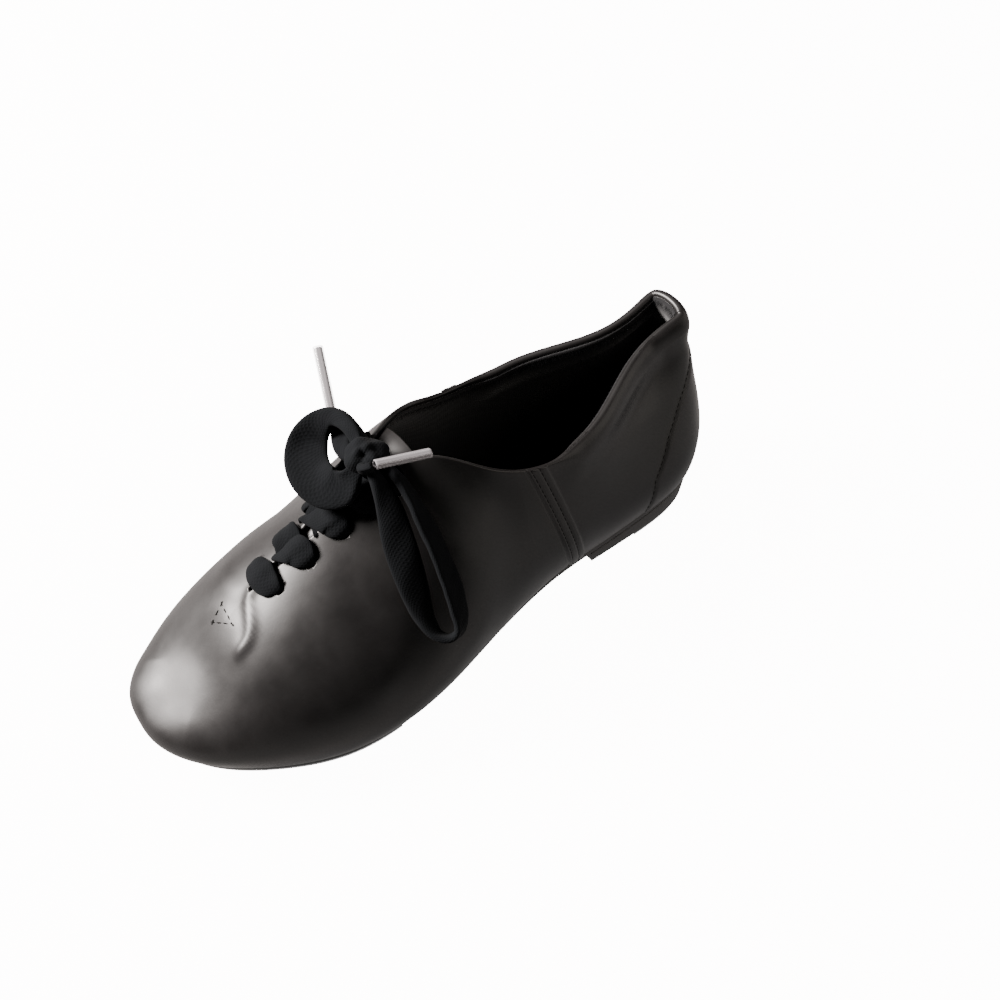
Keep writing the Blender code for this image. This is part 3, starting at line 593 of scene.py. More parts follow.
def blank(name: str) -> tuple[bpy.types.Material, bpy.types.NodeTree, bpy.types.Node]:
    """A new material with only a Principled shader and its output.

    Args:
        name: The material's name.

    Returns:
        The material, its tree and the shader.
    """
    made = bpy.data.materials.new(name)
    made.use_nodes = True
    tree = made.node_tree
    tree.nodes.clear()
    shader = add_node(tree, "ShaderNodeBsdfPrincipled")
    add_node(tree, "ShaderNodeOutputMaterial", {"Surface": shader.outputs[0]})
    return made, tree, shader


@dataclass(frozen=True)
class CoatedLeather:
    """Polyurethane-coated leather: smooth, near black, with a satin skin and a very fine grain."""

    name: str = "coated_leather"
    dark: str = "#0b0a0a"
    light: str = "#100f0f"
    roughness: tuple[float, float] = (0.35, 0.42)
    grain: float = 0.55 * MM
    mottle: float = 9 * MM

    def make(self) -> bpy.types.Material:
        """Builds the material: grain and pull marks as bump, and gloss that varies."""
        made, tree, shader = blank(self.name)
        place = add_node(tree, "ShaderNodeTexCoord").outputs["Object"]
        broad = add_noise(tree, place, self.mottle, 3.0)
        tone = add_node(tree, "ShaderNodeMix", {
            0: broad.outputs["Fac"], 6: linear(self.dark), 7: linear(self.light)}, data_type="RGBA")
        gloss = add_node(tree, "ShaderNodeMapRange", {
            "Value": broad.outputs["Fac"], "From Min": 0.3, "From Max": 0.7,
            "To Min": self.roughness[0], "To Max": self.roughness[1]})
        # The grain's cells are 0.3 mm on the real skin and drawn at 0.55 mm so that they show
        cells = add_node(tree, "ShaderNodeTexVoronoi", {"Vector": place, "Scale": 1 / self.grain},
                         feature="SMOOTH_F1")
        fine = add_noise(tree, place, 0.25 * MM)
        pull = add_noise(tree, place, 5 * MM)
        mixed = add_node(tree, "ShaderNodeMath", {0: cells.outputs["Distance"], 1: fine.outputs["Fac"]},
                         operation="ADD")
        low = add_bump(tree, pull.outputs["Fac"], 0.10, 0.20 * MM)
        bump = add_bump(tree, mixed.outputs[0], 0.10, 0.05 * MM, low.outputs[0])
        tree.links.new(tone.outputs[2], shader.inputs["Base Color"])
        tree.links.new(gloss.outputs[0], shader.inputs["Roughness"])
        tree.links.new(bump.outputs[0], shader.inputs["Normal"])
        shader.inputs["IOR"].default_value = 1.46
        shader.inputs["Specular IOR Level"].default_value = 0.22
        return made


@dataclass(frozen=True)
class Cotton:
    """Black cotton: a brushed knit for the lining, a soft flat braid for the laces."""

    name: str
    fabric: Fabric
    dark: str
    light: str
    thread: float
    sheen: float

    def make(self) -> bpy.types.Material:
        """Builds the material: thread relief, uneven dye and a soft sheen of loose fibres."""
        made, tree, shader = blank(self.name)
        coords = add_node(tree, "ShaderNodeTexCoord")
        own = coords.outputs["UV"] if self.fabric is Fabric.BRAID else coords.outputs["Object"]
        patchy = add_noise(tree, coords.outputs["Object"], 4 * MM, 4.0)
        tone = add_node(tree, "ShaderNodeMix", {
            0: patchy.outputs["Fac"], 6: linear(self.dark), 7: linear(self.light)}, data_type="RGBA")
        heights = []
        for turn in (0.62, -0.62) if self.fabric is Fabric.BRAID else (0.0, math.pi / 2):
            turned = add_node(tree, "ShaderNodeMapping", {"Vector": own, "Rotation": (0.0, 0.0, turn)})
            band = add_node(tree, "ShaderNodeTexWave", {
                "Vector": turned.outputs[0], "Scale": 0.314 / self.thread, "Distortion": 1.2,
                "Detail": 1.0, "Detail Scale": 2.0})
            heights.append(band.outputs["Fac"])
        woven = add_node(tree, "ShaderNodeMath", {0: heights[0], 1: heights[1]}, operation="MAXIMUM")
        fuzz = add_noise(tree, coords.outputs["Object"], 0.35 * MM, 3.0)
        low = add_bump(tree, woven.outputs[0], 0.45, 0.18 * MM)
        bump = add_bump(tree, fuzz.outputs["Fac"], 0.55, 0.12 * MM, low.outputs[0])
        tree.links.new(tone.outputs[2], shader.inputs["Base Color"])
        tree.links.new(bump.outputs[0], shader.inputs["Normal"])
        shader.inputs["Roughness"].default_value = 0.92
        shader.inputs["IOR"].default_value = 1.45
        shader.inputs["Specular IOR Level"].default_value = 0.05
        shader.inputs["Sheen Weight"].default_value = self.sheen
        shader.inputs["Sheen Roughness"].default_value = 0.5
        return made


@dataclass(frozen=True)
class SoleRubber:
    """Black moulded rubber with a matt buffed skin and a faint speckle."""

    name: str = "sole_rubber"
    dark: str = "#151414"
    light: str = "#1e1c1b"
    roughness: float = 0.62

    def make(self) -> bpy.types.Material:
        """Builds the material: buffing marks along the sole and small pits."""
        made, tree, shader = blank(self.name)
        place = add_node(tree, "ShaderNodeTexCoord").outputs["Object"]
        drawn = add_node(tree, "ShaderNodeMapping", {"Vector": place, "Scale": (0.12, 1.0, 1.0)})
        marks = add_noise(tree, drawn.outputs[0], 0.5 * MM, 4.0)
        pits = add_noise(tree, place, 1.2 * MM)
        tone = add_node(tree, "ShaderNodeMix", {
            0: pits.outputs["Fac"], 6: linear(self.dark), 7: linear(self.light)}, data_type="RGBA")
        low = add_bump(tree, marks.outputs["Fac"], 0.35, 0.08 * MM)
        bump = add_bump(tree, pits.outputs["Fac"], 0.30, 0.10 * MM, low.outputs[0])
        tree.links.new(tone.outputs[2], shader.inputs["Base Color"])
        tree.links.new(bump.outputs[0], shader.inputs["Normal"])
        shader.inputs["Roughness"].default_value = self.roughness
        shader.inputs["IOR"].default_value = 1.52
        return made


@dataclass(frozen=True)
class CastAluminium:
    """Cast aluminium with a tumbled face, scratched crosswise where it strikes the floor."""

    name: str = "cast_aluminium"
    bright: str = "#d6d7d9"
    dull: str = "#b3b4b6"

    def make(self) -> bpy.types.Material:
        """Builds the material: fine scratches in two directions and duller patches."""
        made, tree, shader = blank(self.name)
        place = add_node(tree, "ShaderNodeTexCoord").outputs["Object"]
        patches = add_noise(tree, place, 9 * MM, 4.0)
        tone = add_node(tree, "ShaderNodeMix", {
            0: patches.outputs["Fac"], 6: linear(self.bright), 7: linear(self.dull)}, data_type="RGBA")
        gloss = add_node(tree, "ShaderNodeMapRange", {
            "Value": patches.outputs["Fac"], "To Min": 0.22, "To Max": 0.42})
        across = add_node(tree, "ShaderNodeMapping", {"Vector": place, "Scale": (1.0, 0.05, 1.0)})
        slant = add_node(tree, "ShaderNodeMapping", {
            "Vector": place, "Rotation": (0.0, 0.0, 0.9), "Scale": (1.0, 0.08, 1.0)})
        first = add_noise(tree, across.outputs[0], 0.4 * MM)
        second = add_noise(tree, slant.outputs[0], 0.9 * MM)
        both = add_node(tree, "ShaderNodeMath", {0: first.outputs["Fac"], 1: second.outputs["Fac"]},
                        operation="ADD")
        bump = add_bump(tree, both.outputs[0], 0.25, 0.04 * MM)
        tree.links.new(tone.outputs[2], shader.inputs["Base Color"])
        tree.links.new(gloss.outputs[0], shader.inputs["Roughness"])
        tree.links.new(bump.outputs[0], shader.inputs["Normal"])
        shader.inputs["Metallic"].default_value = 1.0
        return made


@dataclass(frozen=True)
class ClearFilm:
    """Clear acetate film, rolled and crimped on a lace's tip: see-through with bright streaks."""

    name: str = "clear_acetate"
    # The grey tint is a painted reflection: seen at part opacity over the black lace, it stands in for the
    # light that the clear film reflects.
    tint: str = "#9a979a"

    def make(self) -> bpy.types.Material:
        """Builds the material: thin clear plastic with lengthwise crimp marks, and a grey base colour at part
        opacity that is a painted reflection.
        """
        made, tree, shader = blank(self.name)
        own = add_node(tree, "ShaderNodeTexCoord").outputs["UV"]
        drawn = add_node(tree, "ShaderNodeMapping", {"Vector": own, "Scale": (1.0, 0.06, 1.0)})
        streak = add_noise(tree, drawn.outputs[0], 0.7 * MM)
        bump = add_bump(tree, streak.outputs["Fac"], 0.5, 0.2 * MM)
        tree.links.new(bump.outputs[0], shader.inputs["Normal"])
        # Painted reflection: a grey base colour at part opacity, in place of the film's own reflections.
        shader.inputs["Base Color"].default_value = linear(self.tint)
        shader.inputs["Roughness"].default_value = 0.22
        shader.inputs["IOR"].default_value = 1.47
        shader.inputs["Alpha"].default_value = 0.34
        shader.inputs["Coat Weight"].default_value = 0.25
        shader.inputs["Coat Roughness"].default_value = 0.08
        return made


@dataclass(frozen=True)
class BondedThread:
    """Bonded polyester thread: black and matt, so that a row of it reads darker than the leather."""

    name: str = "bonded_thread"
    colour: str = "#0a0909"

    def make(self) -> bpy.types.Material:
        """Builds the material: the ply's twist as bump."""
        made, tree, shader = blank(self.name)
        place = add_node(tree, "ShaderNodeTexCoord").outputs["Object"]
        twist = add_noise(tree, place, 0.3 * MM, 1.0)
        bump = add_bump(tree, twist.outputs["Fac"], 0.3, 0.05 * MM)
        tree.links.new(bump.outputs[0], shader.inputs["Normal"])
        shader.inputs["Base Color"].default_value = linear(self.colour)
        shader.inputs["Roughness"].default_value = 0.8
        shader.inputs["Specular IOR Level"].default_value = 0.08
        return made


@dataclass(frozen=True)
class StudioPaper:
    """White studio paper with a faint warm tint.

    The photograph overexposes its backdrop. The paper glows by glow for the camera, and only by spill for
    the shoe's reflections and light, and its own sheet is grey so that it throws little of the lights back.
    """

    name: str = "studio_paper"
    colour: str = "#fdf9f8"
    sheet: str = "#5a5857"
    glow: float = 14.0
    spill: float = 0.50

    def make(self) -> bpy.types.Material:
        """Builds the material: matt paper with a hardly visible tooth."""
        made, tree, shader = blank(self.name)
        place = add_node(tree, "ShaderNodeTexCoord").outputs["Object"]
        tooth = add_noise(tree, place, 6 * MM)
        bump = add_bump(tree, tooth.outputs["Fac"], 0.05, 0.1 * MM)
        tree.links.new(bump.outputs[0], shader.inputs["Normal"])
        shader.inputs["Base Color"].default_value = linear(self.sheet)
        shader.inputs["Roughness"].default_value = 0.85
        shader.inputs["Emission Color"].default_value = linear(self.colour)
        seen = add_node(tree, "ShaderNodeLightPath").outputs["Is Camera Ray"]
        strength = add_node(tree, "ShaderNodeMapRange", {
            "Value": seen, "To Min": self.spill, "To Max": self.glow})
        tree.links.new(strength.outputs[0], shader.inputs["Emission Strength"])
        return made


@dataclass
class Finishes:
    """The shoe's materials, made once."""

    leather: bpy.types.Material = field(default_factory=lambda: CoatedLeather().make())
    lining: bpy.types.Material = field(default_factory=lambda: Cotton(
        "brushed_lining", Fabric.KNIT, "#0c0c0d", "#151516", 0.9 * MM, 0.12).make())
    lace: bpy.types.Material = field(default_factory=lambda: Cotton(
        "braided_cotton", Fabric.BRAID, "#040506", "#08090b", 0.9 * MM, 0.004).make())
    rubber: bpy.types.Material = field(default_factory=lambda: SoleRubber().make())
    metal: bpy.types.Material = field(default_factory=lambda: CastAluminium().make())
    film: bpy.types.Material = field(default_factory=lambda: ClearFilm().make())
    thread: bpy.types.Material = field(default_factory=lambda: BondedThread().make())


def piece_of(
    name: str,
    points: np.ndarray,
    faces: list[tuple[int, ...]],
    looks: bpy.types.Material,
    weld: float = 0.0,
    outward: bool = False,
    sharp: float | None = None,
) -> bpy.types.Object:
    """Makes a smooth-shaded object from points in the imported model's frame.

    Args:
        name: The object's name.
        points: Corner points.
        faces: Faces as point numbers.
        looks: The material.
        weld: Distance within which doubles are merged, or 0.
        outward: True to turn every face of a closed shape outwards.
        sharp: The angle above which an edge stays sharp, or none.

    Returns:
        The new object, linked to the scene.
    """
    mesh = bpy.data.meshes.new(name)
    mesh.from_pydata(np.asarray(points).reshape(-1, 3).tolist(), [], faces)
    if weld or outward:
        work = bmesh.new()
        work.from_mesh(mesh)
        if weld:
            bmesh.ops.remove_doubles(work, verts=work.verts, dist=weld)
            bmesh.ops.dissolve_degenerate(work, edges=work.edges, dist=weld / 2)
        if outward:
            bmesh.ops.recalc_face_normals(work, faces=work.faces)
        work.to_mesh(mesh)
        work.free()
    mesh.validate()
    mesh.shade_smooth()
    if sharp is not None:
        mesh.set_sharp_from_angle(angle=sharp)
    mesh.materials.append(looks)
    made = bpy.data.objects.new(name, mesh)
    bpy.context.scene.collection.objects.link(made)
    return made


def settle(piece: bpy.types.Object, slot: str, *nodes: str) -> bpy.types.Object:
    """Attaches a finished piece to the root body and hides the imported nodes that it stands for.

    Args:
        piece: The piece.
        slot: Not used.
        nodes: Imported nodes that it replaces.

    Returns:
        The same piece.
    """
    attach(piece, "root")
    if nodes:
        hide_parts(*nodes)
    LOG.info("%s: %d faces", piece.name, len(piece.data.polygons))
    return piece


def carve(piece: bpy.types.Object, tools: list[bpy.types.Object]) -> None:
    """Cuts tools out of a piece, makes the result its mesh and removes the tools.

    Args:
        piece: The piece that is cut.
        tools: Closed cutters.
    """
    group = bpy.data.collections.new("cutters")
    bpy.context.scene.collection.children.link(group)
    for tool in tools:
        for held in tool.users_collection:
            held.objects.unlink(tool)
        group.objects.link(tool)
    cut = piece.modifiers.new("cut", "BOOLEAN")
    cut.operation = "DIFFERENCE"
    cut.solver = "EXACT"
    cut.operand_type = "COLLECTION"
    cut.collection = group
    graph = bpy.context.evaluated_depsgraph_get()
    done = bpy.data.meshes.new_from_object(piece.evaluated_get(graph))
    piece.modifiers.clear()
    piece.data = done
    for tool in tools:
        bpy.data.objects.remove(tool)
    bpy.data.collections.remove(group)


def round_tool(
    name: str, radius: float, depth: float, place: Matrix, wide: float | None = None
) -> bpy.types.Object:
    """A round or tapering cutter.

    Args:
        name: Its name.
        radius: Radius of its lower end.
        depth: Its length.
        place: Its place and turn.
        wide: Radius of its upper end, or the same.

    Returns:
        The cutter's object, with its place in its mesh.
    """
    work = bmesh.new()
    bmesh.ops.create_cone(work, cap_ends=True, segments=24, radius1=radius, radius2=wide or radius,
                          depth=depth, matrix=place)
    mesh = bpy.data.meshes.new(name)
    work.to_mesh(mesh)
    work.free()
    made = bpy.data.objects.new(name, mesh)
    bpy.context.scene.collection.objects.link(made)
    return made


@dataclass
class Upper:
    """The leather upper with its rolled rim, eyelets and lining."""

    skin: Skin
    finishes: Finishes
    eyelet: float = 0.0020
    eyelet_inset: float = 0.0075
    lining: float = 0.0006
    lining_drop: float = 0.0020
    fan_core: float = 0.0130
    fan_fade: float = 0.0090
    fan_reach: float = 0.0038

    def rows(self) -> np.ndarray:
        """Places round the shoe, closer together at the heel's seam and at the side seams."""
        lateral = np.concatenate([
            np.linspace(0, 3.6, 96)[:-1],
            np.linspace(3.6, 4.3, 13)[:-1],
            np.linspace(4.3, 5.75, 92)[:-1],
            np.linspace(5.75, THROAT_ROW, 66)[:-1],
            np.linspace(THROAT_ROW, LAST_ROW, 58),
        ])
        return around(lateral, 2 * LAST_ROW - lateral)

    def shell(
        self, name: str, rows: np.ndarray, outer: np.ndarray, inner: np.ndarray, looks: bpy.types.Material
    ) -> bpy.types.Object:
        """Joins an outer and an inner grid to one closed wall, open at the collar and the throat.

        Args:
            name: The piece's name.
            rows: Places round the shoe.
            outer: Grid of the outer face, foot to top.
            inner: Grid of the inner face, top to foot.
            looks: The material.

        Returns:
            The wall's object.
        """
        count, up = outer.shape[:2]
        down = inner.shape[1]
        number = np.arange(count * (up + down)).reshape(count, up + down)
        points = np.concatenate([outer, inner], axis=1)
        vamp = from_toe(rows) >= THROAT_ROW - 1e-6
        for i in range(1, (count + 1) // 2):
            twin = count - i
            if not vamp[i] or twin == i:
                continue
            for j in (up - 1, up):
                points[i, j] = (points[i, j] + points[twin, j]) / 2
                number[twin, j] = number[i, j]
        faces = []
        for i in range(count):
            after = (i + 1) % count
            a, b = number[i], number[after]
            for j in range(up + down):
                if j == up - 1 and vamp[i] and vamp[after]:
                    continue
                k = (j + 1) % (up + down)
                face = [int(a[j]), int(a[k]), int(b[k]), int(b[j])]
                kept = [v for n, v in enumerate(face) if v != face[n - 1]]
                if len(kept) > 2:
                    faces.append(tuple(kept))
        place = points.reshape(-1, 3) + self.skin.last.shift()
        return piece_of(name, place, faces, looks, weld=0.000004)

    def soften_fan(self, grid: np.ndarray) -> np.ndarray:
        """Evens out the lines left where the sections fan out round the toe.

        Each place moves only along the face's own direction, toward the mean of the leather close by, and
        the change fades to nothing away from the fan.

        Args:
            grid: Points of the outer face.

        Returns:
            The points with the fan's lines evened out.
        """
        grid = grid.copy()
        centre = self.skin.last.top_line(np.array([TOE_FAN_ROW]))[0]
        away = np.linalg.norm(grid - centre, axis=2)
        share = 1 - smooth_step((away - self.fan_core) / self.fan_fade)
        near = away < self.fan_core + self.fan_fade + 2.5 * self.fan_reach
        for _ in range(2):
            facing = np.cross(np.gradient(grid, axis=0), np.gradient(grid, axis=1))[near]
            places, area = grid[near] - centre, np.linalg.norm(facing, axis=1)
            square = (places**2).sum(axis=1)
            moved = places.copy()
            for some in np.array_split(np.flatnonzero(share[near] > 0), 60):
                gap = square[some, None] + square[None] - 2 * places[some] @ places.T
                pull = area * np.exp(-gap / self.fan_reach**2)
                mean = pull @ places / pull.sum(axis=1)[:, None]
                way = unit(np.exp(-gap / self.fan_reach**2) @ facing)
                step = ((mean - places[some]) * way).sum(axis=1) * share[near][some]
                moved[some] += way * step[:, None]
            LOG.info("toe fan evened out by at most %.2f mm",
                     1000 * np.linalg.norm(moved - places, axis=1).max())
            grid[near] = moved + centre
        return grid

    def leather(self) -> bpy.types.Object:
        """The leather wall: full height outside, a rolled rim, and the inner face."""
        skin, last = self.skin, self.skin.last
        rows = self.rows()
        turn = np.linspace(np.pi / 2, 0, 34)
        rises = np.concatenate([np.linspace(0, 0.86, 62)[:-1], 1 - 0.14 * (1 - np.cos(turn))])
        inner_rises = np.concatenate([1 - 0.14 * (1 - np.cos(turn[::-1][::2])), np.linspace(0.80, 0, 9)])
        open_rim = (1 - smooth_step((from_toe(rows) - THROAT_ROW + 0.12) / 0.10))[:, None]

        def roll(at: np.ndarray, lean: float) -> np.ndarray:
            """How far the rounding of the rim draws a face in: more outside (1) than inside (-1)."""
            padded = skin.padding(rows, at)
            across = 0.49 * (skin.wall + (skin.pad + skin.pad_swell) * padded) * (1 + 0.42 * lean * padded)
            down = across * (1 + 0.9 * max(lean, 0.0) * padded)
            left = np.clip(1 - skin.below(rows, at) / down, 0, 1)
            return across * (1 - np.sqrt(np.maximum(1 - left**2, 0))) * open_rim

        outer = self.soften_fan(skin.cover(rows, rises, -roll(rises, 1.0)))
        wall = skin.wall + skin.pad * skin.padding(rows, inner_rises) - roll(inner_rises, -1.0)
        inner = last.wall(rows, inner_rises) - last.normals(rows, inner_rises) * wall[..., None]
        for grid in (outer[:, 0], inner[:, -1]):
            grid[:, 2] += last.gap
        made = self.shell("leather_upper", rows, outer, inner, self.finishes.leather)
        carve(made, self.eyelets())
        return settle(made, "leather", "upper")

    def eyelets(self) -> list[bpy.types.Object]:
        """Cutters for the ten eyelets and for the throat's round end."""
        tools = []
        for row in EYELET_ROWS:
            for side in (1, -1):
                place = np.array([on_side(row, side)])
                rise = np.array([self.skin.last.rise_below(place[0], self.eyelet_inset)])
                centre = self.skin.cover(place, rise)[0, 0] + self.skin.last.shift()
                turn = Vector(self.skin.last.normals(place, rise)[0, 0]).to_track_quat("Z", "Y")
                at = Matrix.Translation(Vector(centre)) @ turn.to_matrix().to_4x4()
                tools.append(round_tool("eyelet", self.eyelet, 0.006, at))
        end = self.skin.last.top_line(np.array([THROAT_ROW + 0.02]))[0] + self.skin.last.shift()
        tools.append(round_tool("throat_end", 0.0011, 0.008, Matrix.Translation(Vector(end))))
        return tools

    def cloth(self) -> bpy.types.Object:
        """The lining: a thin brushed cloth inside the leather, a little below the rim."""
        skin, last = self.skin, self.skin.last
        rows = self.rows()[::2]
        if THROAT_ROW not in rows:
            half = np.linspace(0, LAST_ROW, 261)
            rows = around(half, 2 * LAST_ROW - half)
        drop = self.lining_drop / last.chord(rows) * (1 - smooth_step((from_toe(rows) - 8.2) / 0.75))
        rises = np.linspace(0.0, 1.0, 44)[None, :] * (1 - drop)[:, None]
        behind = skin.wall + skin.pad * skin.padding(rows, rises)
        normals = last.normals(rows, rises)
        points = last.wall(rows, rises)
        near = points - normals * (behind - 0.0001)[..., None]
        far = points - normals * (behind + self.lining)[..., None]
        near[:, 0, 2] += last.gap
        far[:, 0, 2] += last.gap
        made = self.shell("lining_cloth", rows, near, far[:, ::-1], self.finishes.lining)
        return settle(made, "textile")

    def build(self) -> list[bpy.types.Object]:
        """Builds the leather and the lining."""
        return [self.leather(), self.cloth()]


@dataclass
class Tongue:
    """The leather tongue under the facings."""

    skin: Skin
    finishes: Finishes
    flap: float = 0.0150
    thickness: float = 0.0016
    clear: float = 0.0007
    arch: float = 0.10

    def face(self, lift: float) -> np.ndarray:
        """One face of the tongue as a grid, from the outer facing over the throat to the inner."""
        stations = np.linspace(7.08, 9.40, 44)
        last = self.skin.last
        columns = []
        for station in stations:
            sides = []
            for side in (1, -1):
                run = []
                for below in np.linspace(self.flap, 0, 12):
                    row = np.array([on_side(station, side)])
                    rise = np.array([last.rise_below(row[0], below)])
                    padded = self.skin.pad_swell * self.skin.padding(row, rise)[0, 0]
                    run.append(last.wall(row, rise)[0, 0] + last.normals(row, rise)[0, 0] * (lift + padded))
                sides.append(run)
            lateral, medial = np.array(sides)
            gap = np.linalg.norm(lateral[-1] - medial[-1])
            arch = self.arch * gap * np.array([0.75, 1.0, 0.75])
            shares = np.array([0.25, 0.5, 0.75])
            middle = lateral[-1] + (medial[-1] - lateral[-1]) * shares[:, None]
            middle[:, 2] += arch
            columns.append(np.concatenate([lateral, middle, medial[::-1]]))
        return np.array(columns)

    def build(self) -> bpy.types.Object:
        """Builds the tongue as a closed leaf."""
        outer = self.face(-(self.skin.wall + self.clear))
        inner = self.face(-(self.skin.wall + self.clear + self.thickness))
        across, up = outer.shape[:2]
        loops = np.concatenate([outer, inner[:, ::-1]], axis=1)
        around_count = 2 * up
        faces = []
        for i in range(across - 1):
            for j in range(around_count):
                k = (j + 1) % around_count
                a, b = i * around_count, (i + 1) * around_count
                faces.append((a + j, a + k, b + k, b + j))
        for i in (0, across - 1):
            base = i * around_count
            for j in range(up - 1):
                far = base + around_count - 1 - j
                faces.append((base + j, base + j + 1, far - 1, far))
        made = piece_of("leather_tongue", loops + self.skin.last.shift(), faces, self.finishes.leather,
                        outward=True, sharp=1.0)
        return settle(made, "leather", "tongue")


class Ring(NamedTuple):
    """One outline of a bottom piece: its inset, its share of the way down, and an extra height."""

    inset: float
    down: float
    lift: float


@dataclass
class Bottom:
    """Insole, outsole, heel, the two metal plates and their screws."""

    last: Last
    finishes: Finishes
    heel_taper: float = 0.0015
    breast: float = 0.0704
    insole: float = 0.0024
    insole_inset: float = 0.0030
    plate_inset: float = 0.0016
    toe_plate: float = 0.0760
    heel_plate: float = 0.0480
    head: float = 0.0026
    recess: float = 0.0005
    margin: float = 0.0100
    toe_margin: float = 0.0200
    toe_spread: float = 0.0500
    heel_spread: float = 0.0380

    def slab(
        self,
        name: str,
        span: tuple[float, float],
        rings: list[Ring],
        top: Callable[[np.ndarray], np.ndarray],
        low: Callable[[np.ndarray], np.ndarray],
        looks: bpy.types.Material,
        count: int = 150,
    ) -> bpy.types.Object:
        """A flat piece with rounded edges, built from outlines stacked from its top to its bottom.

        Args:
            name: The piece's name.
            span: Where it starts and ends along the last.
            rings: The outlines, from the top face's edge to the bottom face's.
            top: Height of its top face at x.
            low: Height of its bottom face at x.
            looks: The material.
            count: Points along each side.

        Returns:
            The closed piece.
        """
        start, end = span
        loops = []
        for ring in rings:
            first = self.last.row_at(start + ring.inset) if start > 0 else 0.0
            final = self.last.row_at(end - ring.inset) if end < self.last.length else float(LAST_ROW)
            lateral, medial = self.last.edges(first, final, ring.inset, count)
            sides = []
            for side in (lateral, medial):
                height = top(side[:, 0]) * (1 - ring.down) + low(side[:, 0]) * ring.down + ring.lift
                sides.append(np.column_stack([side, height]))
            loops.append(np.concatenate([sides[0], sides[1][::-1]]))
        points = np.array(loops) + self.last.shift()
        faces = []
        size = 2 * count
        for r in range(len(rings) - 1):
            for i in range(size):
                k = (i + 1) % size
                faces.append((r * size + i, r * size + k, (r + 1) * size + k, (r + 1) * size + i))
        for base in (0, (len(rings) - 1) * size):
            for i in range(count - 1):
                faces.append((base + i, base + i + 1, base + size - 2 - i, base + size - 1 - i))
        return piece_of(name, points, faces, looks, weld=0.000004, outward=True, sharp=0.9)

    def rounded(self, inset: float, edge: float, taper: float = 0.0) -> list[Ring]:
        """Outlines of a plain edge with both corners rounded.

        Args:
            inset: How far the edge lies inside the last's outline.
            edge: The corners' radius.
            taper: How much further in the lower edge lies.

        Returns:
            The outlines, top to bottom.
        """
        rings = []
        for angle in np.linspace(0, np.pi / 2, 5):
            rings.append(Ring(inset + edge * (1 - math.sin(angle)), 0.0, -edge * (1 - math.cos(angle))))
        for angle in np.linspace(np.pi / 2, 0, 5):
            drawn = inset + taper + edge * (1 - math.sin(angle))
            rings.append(Ring(drawn, 1.0, edge * (1 - math.cos(angle))))
        return rings

    def under_sole(self, x: np.ndarray) -> np.ndarray:
        """Height of what is fastened under the sole at x."""
        return self.last.foot_height(x) - self.last.sole - self.last.gap

    def screw_places(self) -> dict[str, list[tuple[float, float]]]:
        """Where each plate's screws sit, on the last."""
        toe = self.last.length - self.toe_plate + self.margin
        heel = self.heel_plate - self.margin
        return {
            "toe_tap": [(self.last.length - self.toe_margin, self.last.toe_swing),
                        (toe, self.toe_spread / 2), (toe, -self.toe_spread / 2)],
            "heel_tap": [(self.margin, 0.0), (heel, self.heel_spread / 2), (heel, -self.heel_spread / 2)],
        }

    def screw(self, node: str, number: int, x: float, y: float, lift: float) -> bpy.types.Object:
        """A flat head with a cross recess, let into its plate.

        Args:
            node: The plate's node.
            number: The screw's number.
            x: Place along the last.
            y: Place across the last.
            lift: Height of the plate's lower face there.

        Returns:
            The screw's head.
        """
        low, high = lift + self.recess, lift + self.last.plate - self.last.gap
        shift = Vector(self.last.shift())
        centre = Vector((x, y, 0.0)) + shift
        name = f"{node}_screw_{number}_head"
        middle = Matrix.Translation(centre + Vector((0, 0, (low + high) / 2)))
        made = round_tool(name, self.head * 0.86, high - low, middle, wide=self.head)
        made.data.materials.append(self.finishes.metal)
        slots = []
        for turn in (0.4 * number, 0.4 * number + math.pi / 2):
            work = bmesh.new()
            place = Matrix.Translation(centre + Vector((0, 0, low)))
            shape = Matrix.Rotation(turn, 4, "Z") @ Matrix.Diagonal((self.head * 1.25, 0.0006, 0.0014, 1.0))
            bmesh.ops.create_cube(work, size=1.0, matrix=place @ shape)
            mesh = bpy.data.meshes.new("slot")
            work.to_mesh(mesh)
            work.free()
            slots.append(bpy.data.objects.new("slot", mesh))
            bpy.context.scene.collection.objects.link(slots[-1])
        for slot_tool in slots:
            carve(made, [slot_tool])
        made.data.shade_smooth()
        made.data.set_sharp_from_angle(angle=0.6)
        return settle(made, "plate", f"{node}_screw_{number}")

    def plates(self) -> list[bpy.types.Object]:
        """Both plates with their holes and screws."""
        last = self.last
        toe_low = lambda x: self.under_sole(x) - last.plate
        made = {
            "toe_tap": self.slab("toe_plate", (last.length - self.toe_plate, last.length),
                                 self.rounded(self.plate_inset, 0.0007), self.under_sole, toe_low,
                                 self.finishes.metal),
            "heel_tap": self.slab("heel_plate", (0.0, self.heel_plate),
                                  self.rounded(self.plate_inset + self.heel_taper, 0.0007),
                                  lambda x: np.full_like(x, last.plate), np.zeros_like, self.finishes.metal),
        }
        pieces = []
        for node, places in self.screw_places().items():
            tools = []
            lifts = []
            for x, y in places:
                lift = float(last.foot_height(np.array([x]))[0]) - last.fore if node == "toe_tap" else 0.0
                lifts.append(lift)
                at = Matrix.Translation(Vector((x, y, lift + last.plate / 2)) + Vector(last.shift()))
                tools.append(round_tool("hole", self.head + last.gap, 3 * last.plate, at))
            carve(made[node], tools)
            made[node].data.shade_smooth()
            made[node].data.set_sharp_from_angle(angle=0.7)
            pieces.append(settle(made[node], "plate", node))
            for number, ((x, y), lift) in enumerate(zip(places, lifts), 1):
                pieces.append(self.screw(node, number, x, y, lift))
        return pieces

